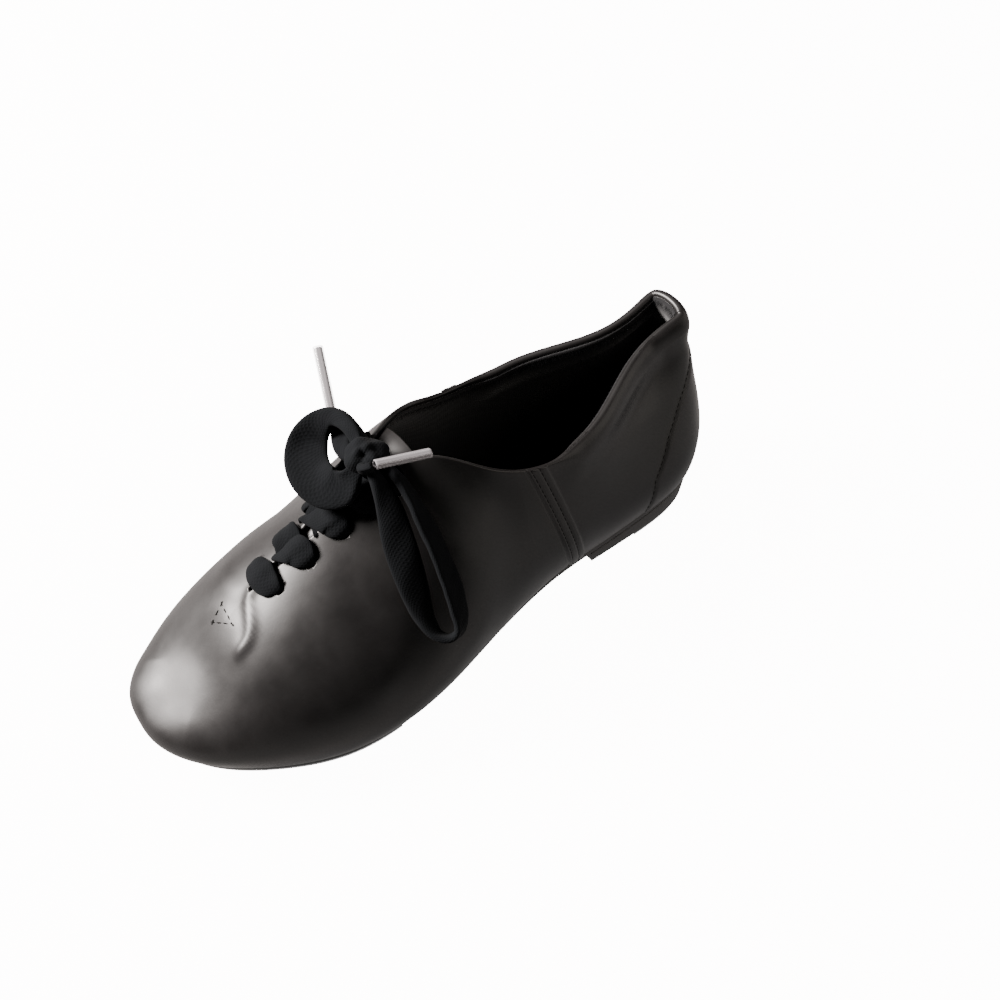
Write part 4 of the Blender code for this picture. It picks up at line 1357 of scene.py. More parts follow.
    def build(self) -> list[bpy.types.Object]:
        """Builds every piece of the bottom."""
        last = self.last
        whole = (0.0, last.length)
        insole = self.slab("insole_board", whole, self.rounded(self.insole_inset, 0.0008),
                           lambda x: last.foot_height(x) + last.gap + self.insole,
                           lambda x: last.foot_height(x) + last.gap, self.finishes.lining)
        outsole = self.slab("rubber_outsole", whole, self.rounded(last.sole_inset, 0.0006),
                            last.foot_height, lambda x: last.foot_height(x) - last.sole,
                            self.finishes.rubber)
        heel = self.slab("stacked_heel", (0.0, self.breast),
                         self.rounded(last.sole_inset, 0.0004, taper=self.heel_taper),
                         self.under_sole, lambda x: np.full_like(x, last.plate + last.gap),
                         self.finishes.rubber)
        return [settle(insole, "textile", "insole"), settle(outsole, "sole", "outsole"),
                settle(heel, "sole", "heel"), *self.plates()]


@dataclass
class Threads:
    """Stitches along the seams and loose fibres inside the rim, made by Geometry Nodes."""

    skin: Skin
    finishes: Finishes
    stitch: float = 0.0022
    pitch: float = 0.0026
    radius: float = 0.00021
    triangle: tuple[tuple[float, float], ...] = ((16.45, 0.920), (15.99, 0.940), (9.62, 0.958))
    fibre: float = 0.0019
    fibre_pitch: float = 0.00045

    def seam_paths(self) -> list[np.ndarray]:
        """Lines of the seams: two rows at each side seam, the counter and the throat's triangle."""
        skin = self.skin
        paths = []
        rises = np.linspace(0.012, 0.985, 60)
        for side in (1, -1):
            for off in skin.seam_lines:
                rows = skin.seam_row(rises) + off / skin.row_length(rises)
                rows = rows if side > 0 else 2 * LAST_ROW - rows
                grid = skin.cover(rows, rises[:, None], 0.00004)
                paths.append(grid[:, 0])
        rises = np.linspace(0.03, 0.775, 90)
        lateral = skin.counter_row(rises)
        for rows in (lateral, (2 * LAST_ROW - lateral) % (2 * LAST_ROW)):
            paths.append(skin.cover(rows, rises[:, None], 0.0)[:, 0])
        face = np.concatenate([
            skin.cover(np.linspace(first, first + 1.4, 70), np.linspace(0.84, 1.0, 70)[None, :], 0.0001)
            .reshape(-1, 3)
            for first in (9.2, 15.4)
        ])
        corners = [skin.cover(np.array([row]), np.array([rise]))[0, 0] for row, rise in self.triangle]
        for start, end in zip(corners, corners[1:] + corners[:1]):
            line = np.linspace(start, end, 14)
            paths.append(face[np.argmin(np.linalg.norm(line[:, None] - face, axis=2), axis=1)])
        return paths

    def guide(self, name: str, paths: list[np.ndarray], leans: list[np.ndarray] | None) -> bpy.types.Object:
        """A mesh of bare edges for a tree to follow, with an optional direction at each point."""
        points, edges, lean = [], [], []
        for n, path in enumerate(paths):
            base = len(points)
            points.extend((path + self.skin.last.shift()).tolist())
            edges.extend((base + i, base + i + 1) for i in range(len(path) - 1))
            lean.extend((leans[n] if leans else np.zeros_like(path)).tolist())
        mesh = bpy.data.meshes.new(name)
        mesh.from_pydata(points, edges, [])
        mesh.attributes.new("lean", "FLOAT_VECTOR", "POINT").data.foreach_set("vector", np.ravel(lean))
        made = bpy.data.objects.new(name, mesh)
        bpy.context.scene.collection.objects.link(made)
        return made

    def tree(self, name: str, stitch: bool) -> tuple[bpy.types.NodeTree, dict[str, str]]:
        """The node tree that sets one thread or fibre at each pitch along a guide.

        Args:
            name: The tree's name.
            stitch: True for stitches that lie along the guide, False for fibres that lean off it.

        Returns:
            The tree, and its inputs' identifiers by name.
        """
        tree = bpy.data.node_groups.new(name, "GeometryNodeTree")
        face = tree.interface
        face.new_socket("Geometry", in_out="INPUT", socket_type="NodeSocketGeometry")
        names = {}
        for title, kind in (("Pitch", "NodeSocketFloat"), ("Length", "NodeSocketFloat"),
                            ("Radius", "NodeSocketFloat"), ("Material", "NodeSocketMaterial")):
            names[title] = face.new_socket(title, in_out="INPUT", socket_type=kind).identifier
        face.new_socket("Geometry", in_out="OUTPUT", socket_type="NodeSocketGeometry")
        given = add_node(tree, "NodeGroupInput")
        curve = add_node(tree, "GeometryNodeMeshToCurve", {"Mesh": given.outputs["Geometry"]})
        spots = add_node(tree, "GeometryNodeCurveToPoints", {
            "Curve": curve.outputs[0], "Length": given.outputs["Pitch"]}, mode="LENGTH")
        half = add_node(tree, "ShaderNodeMath", {0: given.outputs["Length"], 1: 0.5}, operation="MULTIPLY")
        if stitch:
            body = add_node(tree, "GeometryNodeMeshUVSphere", {"Segments": 6, "Rings": 5, "Radius": 1.0})
            size = add_node(tree, "ShaderNodeCombineXYZ", {
                0: given.outputs["Radius"], 1: given.outputs["Radius"], 2: half.outputs[0]})
            turn = add_node(tree, "FunctionNodeAlignRotationToVector", {
                "Vector": spots.outputs["Tangent"]}, axis="Z")
        else:
            body = add_node(tree, "GeometryNodeMeshCone", {
                "Vertices": 4, "Radius Top": 0.25, "Radius Bottom": 1.0, "Depth": 2.0})
            size = add_node(tree, "ShaderNodeCombineXYZ", {
                0: given.outputs["Radius"], 1: given.outputs["Radius"], 2: half.outputs[0]})
            lean = add_node(tree, "GeometryNodeInputNamedAttribute", {"Name": "lean"},
                            data_type="FLOAT_VECTOR")
            astray = add_node(tree, "FunctionNodeRandomValue", {
                "Min": (-0.55, -0.55, -0.55), "Max": (0.55, 0.55, 0.55), "Seed": 7},
                data_type="FLOAT_VECTOR")
            way = add_node(tree, "ShaderNodeVectorMath", {
                0: lean.outputs["Attribute"], 1: astray.outputs["Value"]}, operation="ADD")
            turn = add_node(tree, "FunctionNodeAlignRotationToVector", {"Vector": way.outputs[0]}, axis="Z")
        made = add_node(tree, "GeometryNodeInstanceOnPoints", {
            "Points": spots.outputs["Points"], "Instance": body.outputs["Mesh"],
            "Rotation": turn.outputs[0], "Scale": size.outputs[0]})
        real = add_node(tree, "GeometryNodeRealizeInstances", {0: made.outputs[0]})
        dressed = add_node(tree, "GeometryNodeSetMaterial", {
            "Geometry": real.outputs[0], "Material": given.outputs["Material"]})
        add_node(tree, "NodeGroupOutput", {0: dressed.outputs[0]})
        return tree, names

    def grow(
        self, name: str, guide: bpy.types.Object, stitch: bool, sizes: dict[str, object], slot: str
    ) -> bpy.types.Object:
        """Runs the tree on a guide and keeps the result as a plain mesh."""
        tree, names = self.tree(name, stitch)
        grower = guide.modifiers.new("grow", "NODES")
        grower.node_group = tree
        for title, value in sizes.items():
            grower[names[title]] = value
        graph = bpy.context.evaluated_depsgraph_get()
        mesh = bpy.data.meshes.new_from_object(guide.evaluated_get(graph))
        mesh.name = name
        if not mesh.materials:
            mesh.materials.append(sizes["Material"])
        mesh.shade_smooth()
        made = bpy.data.objects.new(name, mesh)
        bpy.context.scene.collection.objects.link(made)
        bpy.data.objects.remove(guide)
        return settle(made, slot)

    def build(self) -> list[bpy.types.Object]:
        """Builds the stitches and the fibres."""
        seams = self.grow(
            "seam_stitches", self.guide("seam_guide", self.seam_paths(), None), True,
            {"Pitch": self.pitch, "Length": self.stitch, "Radius": self.radius,
             "Material": self.finishes.thread}, "leather")
        skin, last = self.skin, self.skin.last
        paths, leans = [], []
        for side in (1, -1):
            for drop in (3.2 * MM, 3.9 * MM):
                rows = np.linspace(0.1, 8.0, 160)
                rows = rows if side > 0 else 2 * LAST_ROW - rows
                rises = (1 - drop / last.chord(rows))[:, None]
                depth = skin.wall + skin.pad * skin.padding(rows, rises) + 0.0005
                normals = last.normals(rows, rises)[:, 0]
                paths.append(last.wall(rows, rises)[:, 0] - normals * depth)
                leans.append(-normals - np.array([0.0, 0.0, 0.9]))
        fibres = self.grow(
            "lining_fibres", self.guide("rim_guide", paths, leans), False,
            {"Pitch": self.fibre_pitch, "Length": self.fibre, "Radius": 0.00006,
             "Material": self.finishes.lace}, "textile")
        return [seams, fibres]


@dataclass
class Laces:
    """The bar, the straps over the throat, and the bow with its knot, loops, ends and tips."""

    skin: Skin
    finishes: Finishes
    width: float = 0.0105
    thickness: float = 0.0017
    inset: float = 0.0075
    tip: float = 0.0017
    inner_loop: tuple[Stop, ...] = (
        Stop(141.3, -5.6, 95.7, -0.8, -0.1, 0.6, 0.6),
        Stop(141.1, -10.6, 97.0, -0.8, -0.2, 0.5, 0.7),
        Stop(142.0, -17.1, 97.0, -0.6, -0.5, 0.7, 0.8),
        Stop(145.8, -20.7, 95.3, -0.2, -0.8, 0.6, 0.95),
        Stop(151.6, -20.4, 92.6, 0.3, -0.8, 0.5, 1.1),
        Stop(157.0, -15.6, 89.9, 0.8, -0.6, 0.1, 1.2),
        Stop(159.4, -8.4, 87.5, 0.9, -0.1, -0.3, 1.3),
        Stop(157.8, -1.4, 86.4, 0.7, 0.4, -0.6, 1.2),
        Stop(153.6, 2.6, 87.6, 0.2, 0.8, -0.6, 0.95),
        Stop(149.6, 3.4, 90.9, -0.2, 0.8, -0.5, 0.6),
    )
    # The inner loop is folded thin beside the knot and puffs out on its far side
    inner_spread: tuple[float, ...] = (0.80, 0.75, 0.75, 0.90, 1.10, 1.18, 1.12, 1.18, 1.30, 1.05)
    outer_loop: tuple[Stop, ...] = (
        Stop(144.8, 8.9, 93.0, 0.9, -0.3, 0.4, 0.4),
        Stop(145.5, 16.8, 85.4, 0.9, -0.3, 0.3, 0.8),
        Stop(148.2, 24.9, 77.8, 0.9, -0.4, 0.2, 1.05),
        Stop(150.6, 33.2, 69.8, 0.9, -0.3, 0.2, 1.05),
        Stop(152.6, 41.0, 61.8, 0.9, -0.1, 0.4, 0.9),
        Stop(153.2, 48.4, 55.4, 0.7, 0.2, 0.7, 0.8),
        Stop(150.4, 53.0, 52.8, 0.5, 0.4, 0.8, 0.8),
        Stop(145.8, 53.4, 54.2, 0.6, 0.4, 0.7, 0.85),
        Stop(142.8, 49.0, 59.6, 0.8, 0.3, 0.6, 0.9),
        Stop(140.8, 42.0, 67.4, 0.8, 0.2, 0.6, 0.9),
        Stop(139.4, 33.6, 75.4, 0.8, 0.2, 0.6, 0.9),
        Stop(138.5, 24.0, 83.0, 0.7, 0.2, 0.7, 0.8),
        Stop(138.4, 15.8, 88.8, 0.7, 0.2, 0.7, 0.6),
        Stop(139.0, 9.6, 90.8, 0.7, 0.2, 0.7, 0.4),
    )
    inner_end: tuple[Stop, ...] = (
        Stop(146.6, -5.4, 92.0, 0.9, 0.3, -0.2, 0.5),
        Stop(145.4, -11.4, 91.4, 0.9, 0.2, -0.2, 0.6),
        Stop(142.6, -18.0, 91.4, 0.9, 0.4, -0.1, 0.5),
        Stop(141.0, -24.2, 92.2, 0.9, 0.4, -0.1, 0.35),
    )
    outer_end: tuple[Stop, ...] = (
        Stop(148.0, 7.4, 96.0, 0.2, 0.1, 1.0, 0.3),
        Stop(147.7, 9.0, 97.0, 0.2, 0.1, 1.0, 0.3),
        Stop(146.8, 10.2, 97.8, 0.1, 0.2, 1.0, 0.3),
        Stop(145.5, 10.8, 98.2, 0.0, 0.3, 1.0, 0.3),
    )
    inner_tip: tuple[tuple[float, float, float], ...] = ((140.9, -25.0, 92.4), (132.0, -45.5, 104.5))
    outer_tip: tuple[tuple[float, float, float], ...] = ((144.3, 10.6, 98.0), (125.0, 13.2, 92.6))
    knot_centre: tuple[float, float, float] = (143.0, 1.6, 94.1)
    knot_half: tuple[float, float, float] = (7.6, 7.2, 5.2)
    knot_eye: tuple[float, float, float] = (0.354, 0.557, 0.751)
    # How far a lace runs on into the knot, as a share of the way to its centre
    tuck: float = 0.62

    def ribbon(
        self,
        name: str,
        line: np.ndarray,
        wide: np.ndarray,
        share: np.ndarray,
        step: float = 0.0008,
        cup: float = 0.10,
        seed: int = 1,
        plump: float = 1.0,
    ) -> tuple[bpy.types.Object, np.ndarray]:
        """A soft flat lace along a line of stops.

        Args:
            name: The piece's name.
            line: The stops on the last, in metres.
            wide: The width's direction at each stop.
            share: The share of the full width at each stop.
            step: Distance between its cross-sections.
            cup: How hollow its face is, as a share of its width.
            seed: Number that sets its wrinkles.
            plump: How much thicker than a flat lace it stands.

        Returns:
            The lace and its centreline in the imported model's frame.
        """
        run_length = np.linalg.norm(np.diff(line, axis=0), axis=1).sum()
        at = np.linspace(0, len(line) - 1, max(8, int(run_length / step)))
        middle = np.stack([spline(line[:, k], at) for k in range(3)], axis=1)
        across = np.stack([spline(wide[:, k], at) for k in range(3)], axis=1)
        run = unit(np.gradient(middle, axis=0))
        across = unit(across - run * (across * run).sum(axis=1)[:, None])
        through = np.cross(run, across)
        shares = np.maximum(spline(share, at), 0.12)[:, None]
        sides = 26
        angle = np.linspace(0, 2 * np.pi, sides, endpoint=False)[None, :]
        flat = np.sign(np.cos(angle)) * np.abs(np.cos(angle)) ** 0.80
        thick = np.sign(np.sin(angle)) * np.abs(np.sin(angle)) ** 0.62
        length = np.concatenate([[0], np.cumsum(np.linalg.norm(np.diff(middle, axis=0), axis=1))])[:, None]
        wave = 0.00016 * np.sin(length / (4.3 * MM) + 1.7 * flat + seed)
        wave += 0.00011 * np.sin(length / (2.6 * MM) - 2.6 * flat + 2.3 * seed)
        wave += 0.00006 * np.sin(length / (1.1 * MM) + 5.0 * flat + 0.7 * seed)
        ends = np.minimum(length, length[-1] - length) / (4 * MM)
        wave *= np.clip(ends, 0, 1)
        breadth = self.width * shares
        bulk = plump * self.thickness * np.clip(shares, 0.2, 1.3) ** -0.45
        rim = 1 + 0.22 * np.abs(flat) ** 3
        u = breadth / 2 * flat
        w = bulk / 2 * thick * rim + cup * breadth * (flat**2 - 0.35) * 0.5 + wave
        points = middle[:, None] + across[:, None] * u[..., None] + through[:, None] * w[..., None]
        count = len(middle)
        faces = []
        for i in range(count - 1):
            for j in range(sides):
                k = (j + 1) % sides
                faces.append((i * sides + j, i * sides + k, (i + 1) * sides + k, (i + 1) * sides + j))
        body = len(faces)
        faces.append(tuple(range(sides)))
        faces.append(tuple(range((count - 1) * sides, count * sides)))
        made = piece_of(name, points + self.skin.last.shift(), faces, self.finishes.lace)
        layer = made.data.uv_layers.new(name="lace")
        around_length = 2 * self.width
        uv = np.zeros((len(made.data.loops), 2))
        for face in made.data.polygons[:body]:
            i, j = divmod(face.index, sides)
            corners = ((j, i), (j + 1, i), (j + 1, i + 1), (j, i + 1))
            for loop, (a, b) in zip(face.loop_indices, corners):
                uv[loop] = (a / sides * around_length, length[b, 0])
        layer.data.foreach_set("uv", uv.ravel())
        work = bmesh.new()
        work.from_mesh(made.data)
        bmesh.ops.recalc_face_normals(work, faces=work.faces)
        work.to_mesh(made.data)
        work.free()
        return made, middle + self.skin.last.shift()

    def along(
        self, name: str, stops: tuple[Stop, ...], seed: int, cup: float = 0.10, both: bool = False,
        plump: float = 1.0, spread: Sequence[float] | None = None,
    ) -> tuple[bpy.types.Object, np.ndarray]:
        """A lace along a table of stops, which runs on into the knot where it meets it.

        Args:
            name: The piece's name.
            stops: The route outside the knot.
            seed: Number that sets its wrinkles.
            cup: How hollow its face is.
            both: True where its other end goes back into the knot.
            plump: How much thicker than a flat lace it stands.
            spread: How much wider than its CAD solid the soft lace spreads at each stop.

        Returns:
            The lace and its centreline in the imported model's frame.
        """
        line = np.array([(s.along, s.out, s.up) for s in stops]) * MM
        wide = np.array([(s.width_along, s.width_out, s.width_up) for s in stops], float)
        share = np.array([s.share for s in stops]) * (1.0 if spread is None else np.array(spread))
        knot = np.array(self.knot_centre) * MM
        first = line[0] + (knot - line[0]) * self.tuck
        line, wide = np.vstack([first, line]), np.vstack([wide[0], wide])
        share = np.concatenate([[share[0] * 0.8], share])
        if both:
            final = line[-1] + (knot - line[-1]) * self.tuck
            line, wide = np.vstack([line, final]), np.vstack([wide, wide[-1]])
            share = np.concatenate([share, [share[-1] * 0.8]])
        return self.ribbon(name, line, wide, share, seed=seed, cup=cup, plump=plump)

    def strap(
        self, name: str, places: list[tuple[np.ndarray, np.ndarray, float]], seed: int
    ) -> bpy.types.Object:
        """A lace through given points, each with its width's direction and share."""
        line = np.array([p[0] for p in places])
        wide = np.array([p[1] for p in places])
        made, _ = self.ribbon(name, line, wide, np.array([p[2] for p in places]), step=0.0007, seed=seed)
        return made

    def edge_run(self, row: float) -> np.ndarray:
        """Direction of the facings' edges toward the toe at a row."""
        line = self.skin.last.top_line(np.array([row - 0.1, row + 0.1]))
        return unit(line[1] - line[0])

    def bar(self) -> bpy.types.Object:
        """The first lace, straight over the throat's end from eyelet to eyelet."""
        skin, row = self.skin, EYELET_ROWS[0]
        toe = self.edge_run(row)
        places = []
        for side in (-1, 1):
            run = [
                (skin.facing(row, side, self.inset + 0.6 * MM, -3.2 * MM), toe, 0.30),
                (skin.facing(row + 0.01, side, self.inset + 0.1 * MM, -0.4 * MM), toe, 0.42),
                (skin.facing(row + 0.03, side, self.inset - 1.8 * MM, 1.2 * MM), toe, 0.80),
                (skin.facing(row + 0.05, side, 2.2 * MM, 1.7 * MM), toe, 1.02),
            ]
            places.extend(run if side < 0 else run[::-1])
        middle = (places[3][0] + places[4][0]) / 2 + np.array([0, 0, 0.5 * MM])
        places.insert(4, (middle, toe, 1.08))
        made = self.strap("throat_bar_lace", places, 3)
        return settle(made, "lace", "lace_bar")

    def crossing(self, number: int, side: int) -> bpy.types.Object:
        """A lace that comes up through the throat and goes over one facing into its eyelet.

        Args:
            number: The pair of eyelets, from 1.
            side: 1 for the outer facing, -1 for the inner one.

        Returns:
            The lace.
        """
        skin = self.skin
        row, before = EYELET_ROWS[number], EYELET_ROWS[number - 1]
        toe = self.edge_run(row)
        over = 0.7 if side > 0 else -0.6
        low = 0.70 * row + 0.30 * before
        places = [
            (skin.facing(low + 0.06, -side, 3.0 * MM, -2.6 * MM), toe, 0.85),
            (skin.facing(low + 0.02, -side, 0.3 * MM, (-0.7 + over) * MM), toe, 1.00),
            (skin.facing(0.84 * row + 0.16 * before, side, 0.4 * MM, (1.3 + over) * MM), toe, 1.05),
            (skin.facing(0.94 * row + 0.06 * before, side, 3.6 * MM, 1.9 * MM), toe, 1.05),
            (skin.facing(row, side, self.inset - 1.2 * MM, 1.3 * MM), toe, 0.78),
            (skin.facing(row - 0.01, side, self.inset + 0.2 * MM, -0.5 * MM), toe, 0.40),
            (skin.facing(row - 0.01, side, self.inset + 0.5 * MM, -3.2 * MM), toe, 0.30),
        ]
        name = f"crossing_{number}_{'outer' if side > 0 else 'inner'}_lace"
        return self.strap(name, places, 10 * number + side)

    def top_pair(self, side: int) -> bpy.types.Object:
        """The last lace, up out of its eyelet and over the facing to the knot."""
        skin = self.skin
        row = EYELET_ROWS[-1]
        toe = self.edge_run(row)
        knot = np.array(self.knot_centre) * MM
        places = [
            (skin.facing(row, side, self.inset + 0.5 * MM, -3.2 * MM), toe, 0.30),
            (skin.facing(row, side, self.inset - 0.2 * MM, 0.3 * MM), toe, 0.45),
            (skin.facing(row, side, self.inset - 2.6 * MM, 1.6 * MM), toe, 0.80),
            (skin.facing(row, side, 1.0 * MM, 2.0 * MM), toe, 0.85),
            (knot + np.array([0.5 * MM, 2.6 * MM * side, -4.0 * MM]), toe, 0.70),
            (knot + np.array([0.0, 0.5 * MM * side, -1.0 * MM]), toe, 0.45),
        ]
        return self.strap(f"crossing_4_{'outer' if side > 0 else 'inner'}_lace", places, 50 + side)

    def straps(self) -> list[bpy.types.Object]:
        """The bar and every lace over the throat."""
        made = [self.bar()]
        for number in range(1, len(EYELET_ROWS) - 1):
            for side in (-1, 1):
                piece = self.crossing(number, side)
                nodes = (f"lace_crossing_{number}",) if side > 0 else ()
                made.append(settle(piece, "lace", *nodes))
        for side in (-1, 1):
            nodes = ("lace_crossing_4",) if side > 0 else ()
            made.append(settle(self.top_pair(side), "lace", *nodes))
        return made

    def knot(self) -> bpy.types.Object:
        """The knot: a soft lump with folds that wind into its eye."""
        half = np.array(self.knot_half) * MM
        eye = unit(np.array(self.knot_eye))
        side = unit(np.cross(eye, [0.0, 0.0, 1.0]))
        up = np.cross(side, eye)
        rings, sides = 60, 96
        polar = np.linspace(0, np.pi, rings)[:, None]
        turn = np.linspace(0, 2 * np.pi, sides, endpoint=False)[None, :]
        way = (np.cos(polar)[..., None] * eye + (np.sin(polar) * np.cos(turn))[..., None] * side
               + (np.sin(polar) * np.sin(turn))[..., None] * up)
        folds = np.sin(3 * turn + 2.6 * polar + 0.7) * 0.55 * MM + np.sin(5 * turn - 3.4 * polar) * 0.26 * MM
        folds *= np.sin(polar) ** 0.8
        pit = -1.9 * MM * np.exp(-((polar / 0.26) ** 2)) + 0.45 * MM * np.exp(-(((polar - 0.55) / 0.2) ** 2))
        radius = 1 / np.sqrt(((way / half) ** 2).sum(axis=-1))
        points = way * (radius * 0.99 + folds + pit)[..., None] + np.array(self.knot_centre) * MM
        faces = []
        for i in range(rings - 1):
            for j in range(sides):
                k = (j + 1) % sides
                faces.append((i * sides + j, (i + 1) * sides + j, (i + 1) * sides + k, i * sides + k))
        made = piece_of("lace_knot_folds", points + self.skin.last.shift(), faces, self.finishes.lace,
                        weld=0.000005, outward=True)
        layer = made.data.uv_layers.new(name="lace")
        places = np.array([made.data.vertices[loop.vertex_index].co for loop in made.data.loops])
        local = places - self.skin.last.shift() - np.array(self.knot_centre) * MM
        layer.data.foreach_set("uv", np.column_stack([local @ side, local @ up]).ravel())
        return made

    def tip_pieces(self, name: str, ends: tuple[tuple[float, float, float], ...]) -> list[bpy.types.Object]:
        """A lace tip: a crimped clear tube round the lace's squeezed end.

        Args:
            name: Start of the pieces' names.
            ends: The tube's two ends in millimetres on the last.

        Returns:
            The tube and its core.
        """
        start, end = np.array(ends) * MM
        run = unit(end - start)
        side = unit(np.cross(run, [0.2, 0.1, 1.0]))
        up = np.cross(run, side)
        sides = 28
        angle = np.linspace(0, 2 * np.pi, sides, endpoint=False)
        made = []
        for part, (outer, inner, cut) in {
            "tube": (self.tip, self.tip - 0.32 * MM, 0.0),
            "core": (self.tip - 0.42 * MM, None, 0.5 * MM),
        }.items():
            profile = [(0.0, outer - 0.15 * MM), (0.2 * MM, outer)]
            length = np.linalg.norm(end - start) - 2 * cut
            middle = [(s, outer) for s in np.linspace(1 * MM, length - 1 * MM, 26)]
            profile = profile + middle + [(length - 0.2 * MM, outer), (length, outer - 0.15 * MM)]
            if inner is not None:
                profile += [(length, inner), (0.0, inner)]
            rings = []
            for s, radius in profile:
                lobes = 1 + 0.06 * np.cos(3 * angle + 40 * s) + 0.03 * np.cos(7 * angle)
                ring = (start + run * (s + cut) + side * (radius * 1.08 * np.cos(angle) * lobes)[:, None]
                        + up * (radius * 0.86 * np.sin(angle) * lobes)[:, None])
                rings.append(ring)
            count = len(rings)
            faces = []
            last_ring = count if inner is not None else count - 1
            for i in range(last_ring):
                n = (i + 1) % count
                for j in range(sides):
                    k = (j + 1) % sides
                    faces.append((i * sides + j, i * sides + k, n * sides + k, n * sides + j))
            if inner is None:
                faces.append(tuple(range(sides)))
                faces.append(tuple(range((count - 1) * sides, count * sides)))
            looks = self.finishes.film if part == "tube" else self.finishes.lace
            piece = piece_of(f"{name}_{part}", np.array(rings) + self.skin.last.shift(), faces, looks,
                             outward=True, sharp=1.2)
            layer = piece.data.uv_layers.new(name="tip")
            places = np.array([piece.data.vertices[loop.vertex_index].co for loop in piece.data.loops])
            local = places - self.skin.last.shift() - start
            layer.data.foreach_set("uv", np.column_stack([local @ side + local @ up, local @ run]).ravel())
            made.append(piece)
        return made

    def bow(self) -> list[bpy.types.Object]:
        """The knot, both loops, and the ends with their tips."""
        knot = settle(self.knot(), "lace", "lace_knot")
        inner_end, _ = self.along("inner_end_lace", self.inner_end, 21, 0.05)
        outer_end, _ = self.along("outer_end_lace", self.outer_end, 22, 0.05)
        settle(inner_end, "lace", "lace_end_inner")
        settle(outer_end, "lace", "lace_end_outer")
        tips = {}
        for name, ends in (("inner_tip", self.inner_tip), ("outer_tip", self.outer_tip)):
            tube, core = self.tip_pieces(name, ends)
            settle(tube, "clear", "aglet_inner" if name == "inner_tip" else "aglet_outer")
            settle(core, "lace")
            tips[name] = [tube, core]
        shift = self.skin.last.shift()
        made = [knot, inner_end, outer_end, *tips["inner_tip"], *tips["outer_tip"]]
        for name, node, stops, seed, plump, spread, cup, extra in (
            ("inner_loop_lace", "lace_loop_inner", self.inner_loop, 31, 2.7, self.inner_spread, -0.12,
             [knot, inner_end, *tips["inner_tip"]]),
            ("outer_loop_lace", "lace_loop_outer", self.outer_loop, 34, 1.35, None, 0.08,
             [outer_end, *tips["outer_tip"]]),
        ):
            loop, path = self.along(name, stops, seed, cup, both=True, plump=plump, spread=spread)
            settle(loop, "lace", node)
            made.append(loop)
        return made

    def build(self) -> list[bpy.types.Object]:
        """Builds the bow first and then the laces over the throat."""
        return [*self.bow(), *self.straps()]


@dataclass(frozen=True)
class Softbox:
    """A square soft light: where it stands on the last's frame, its side and its power."""

    name: str
    place: tuple[float, float, float]
    side: float
    power: float
    tint: str = "#ffffff"


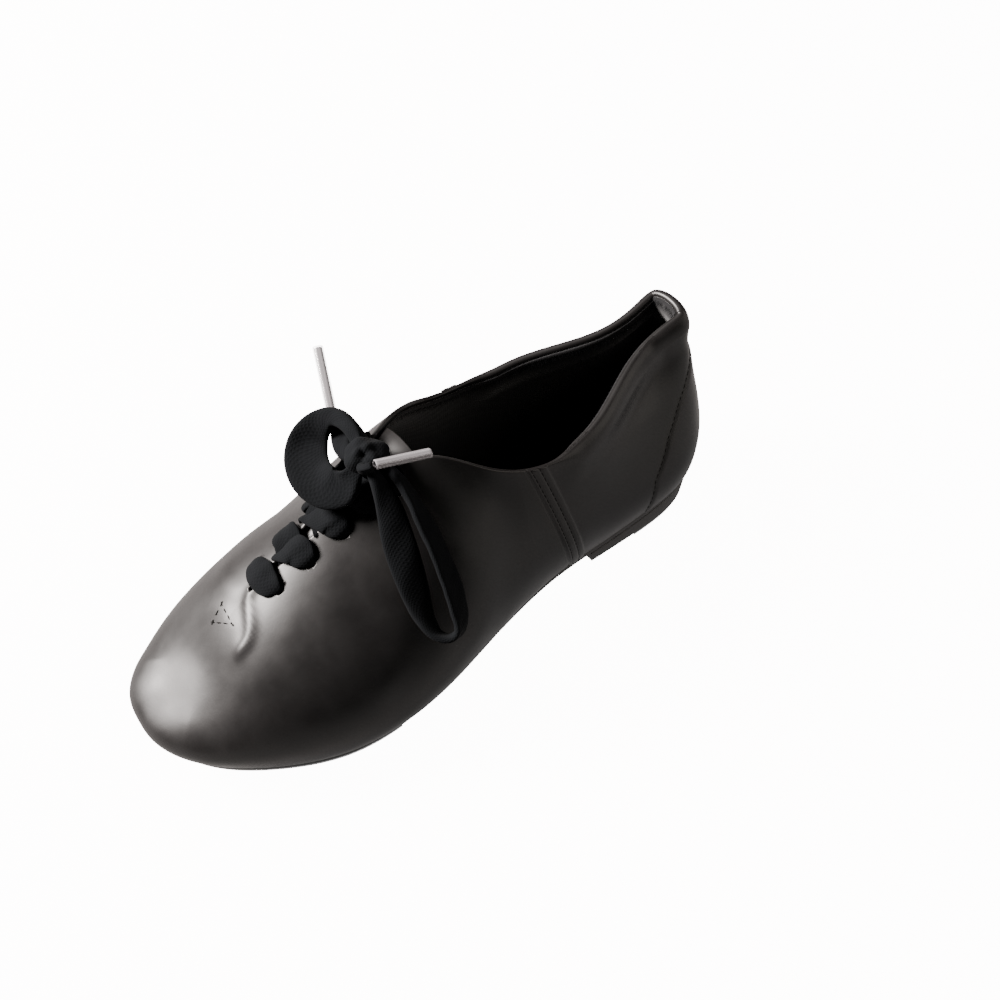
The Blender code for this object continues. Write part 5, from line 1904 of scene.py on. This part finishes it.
@dataclass
class Studio:
    """Camera, floor and lights."""

    last: Last
    target: tuple[float, float, float] = (0.0901, -0.0017, 0.0300)
    distance: float = 0.4082
    azimuth: float = 57.53
    elevation: float = 48.71
    roll: float = -5.53
    lens: float = 1025.2 * 36.0 / 1000.0
    world: str = "#fdf9f8"
    world_power: float = 0.006
    backdrop_power: float = 14.0
    boxes: tuple[Softbox, ...] = (
        Softbox("window_light", (1.02, -0.88, 1.04), 0.6, 290.0, "#fff8f4"),
        Softbox("top_light", (-0.35, -0.75, 1.35), 1.0, 7.0, "#fffaf6"),
        Softbox("fill_light", (-0.85, 0.72, 0.62), 1.2, 13.0, "#fff6ee"),
    )

    def camera(self) -> bpy.types.Object:
        """The camera at the photograph's angle to the shoe."""
        azimuth, elevation, roll = (math.radians(v) for v in (self.azimuth, self.elevation, self.roll))
        back = np.array([math.cos(azimuth) * math.cos(elevation), math.sin(azimuth) * math.cos(elevation),
                         math.sin(elevation)])
        right = unit(np.cross(-back, [0.0, 0.0, 1.0]))
        up = np.cross(right, -back)
        turned = right * math.cos(roll) + up * math.sin(roll)
        above = -right * math.sin(roll) + up * math.cos(roll)
        place = np.array(self.target) + self.distance * back + self.last.shift()
        data = bpy.data.cameras.new("photo_camera")
        data.lens = self.lens
        data.sensor_width = 36.0
        data.clip_start = 0.01
        made = bpy.data.objects.new("photo_camera", data)
        columns = np.column_stack([turned, above, back, place])
        made.matrix_world = Matrix([*columns.tolist(), [0, 0, 0, 1]])
        bpy.context.scene.collection.objects.link(made)
        bpy.context.scene.camera = made
        return made

    def floor(self) -> bpy.types.Object:
        """A pale sheet that the shoe stands on."""
        reach, count = 6.0, 9
        side = np.linspace(-reach, reach, count)
        points = [(x, y, 0.0) for x in side for y in side]
        faces = [(i * count + j, (i + 1) * count + j, (i + 1) * count + j + 1, i * count + j + 1)
                 for i in range(count - 1) for j in range(count - 1)]
        made = piece_of("studio_floor", np.array(points), faces, StudioPaper().make())
        return made

    def lights(self) -> None:
        """The softboxes, each aimed at the shoe, and a room that is dim but for the camera's backdrop."""
        for box in self.boxes:
            data = bpy.data.lights.new(box.name, "AREA")
            data.shape = "SQUARE"
            data.size = box.side
            data.energy = box.power
            data.color = linear(box.tint)[:3]
            made = bpy.data.objects.new(box.name, data)
            place = Vector(box.place) + Vector(self.last.shift())
            aim = Vector((0.13, 0.0, 0.03)) + Vector(self.last.shift())
            turn = (place - aim).to_track_quat("Z", "Y").to_matrix().to_4x4()
            made.matrix_world = Matrix.Translation(place) @ turn
            bpy.context.scene.collection.objects.link(made)
        world = bpy.data.worlds.new("studio_room")
        world.use_nodes = True
        tree = world.node_tree
        tree.nodes.clear()
        seen = add_node(tree, "ShaderNodeLightPath").outputs["Is Camera Ray"]
        strength = add_node(tree, "ShaderNodeMapRange", {
            "Value": seen, "To Min": self.world_power, "To Max": self.backdrop_power})
        shade = add_node(tree, "ShaderNodeBackground", {
            "Color": linear(self.world), "Strength": strength.outputs[0]})
        add_node(tree, "ShaderNodeOutputWorld", {"Surface": shade.outputs[0]})
        bpy.context.scene.world = world


def main() -> None:
    """Builds the shoe in order and reports each piece."""
    logging.basicConfig(level=logging.INFO, format="%(message)s")
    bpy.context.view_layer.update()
    last = Last()
    skin = Skin(last)
    studio = Studio(last)
    studio.camera()
    finishes = Finishes()
    laces = Laces(skin, finishes)
    laces.build()
    Upper(skin, finishes).build()
    Tongue(skin, finishes).build()
    Bottom(last, finishes).build()
    Threads(skin, finishes).build()
    studio.floor()
    studio.lights()


if __name__ == "__main__":
    main()
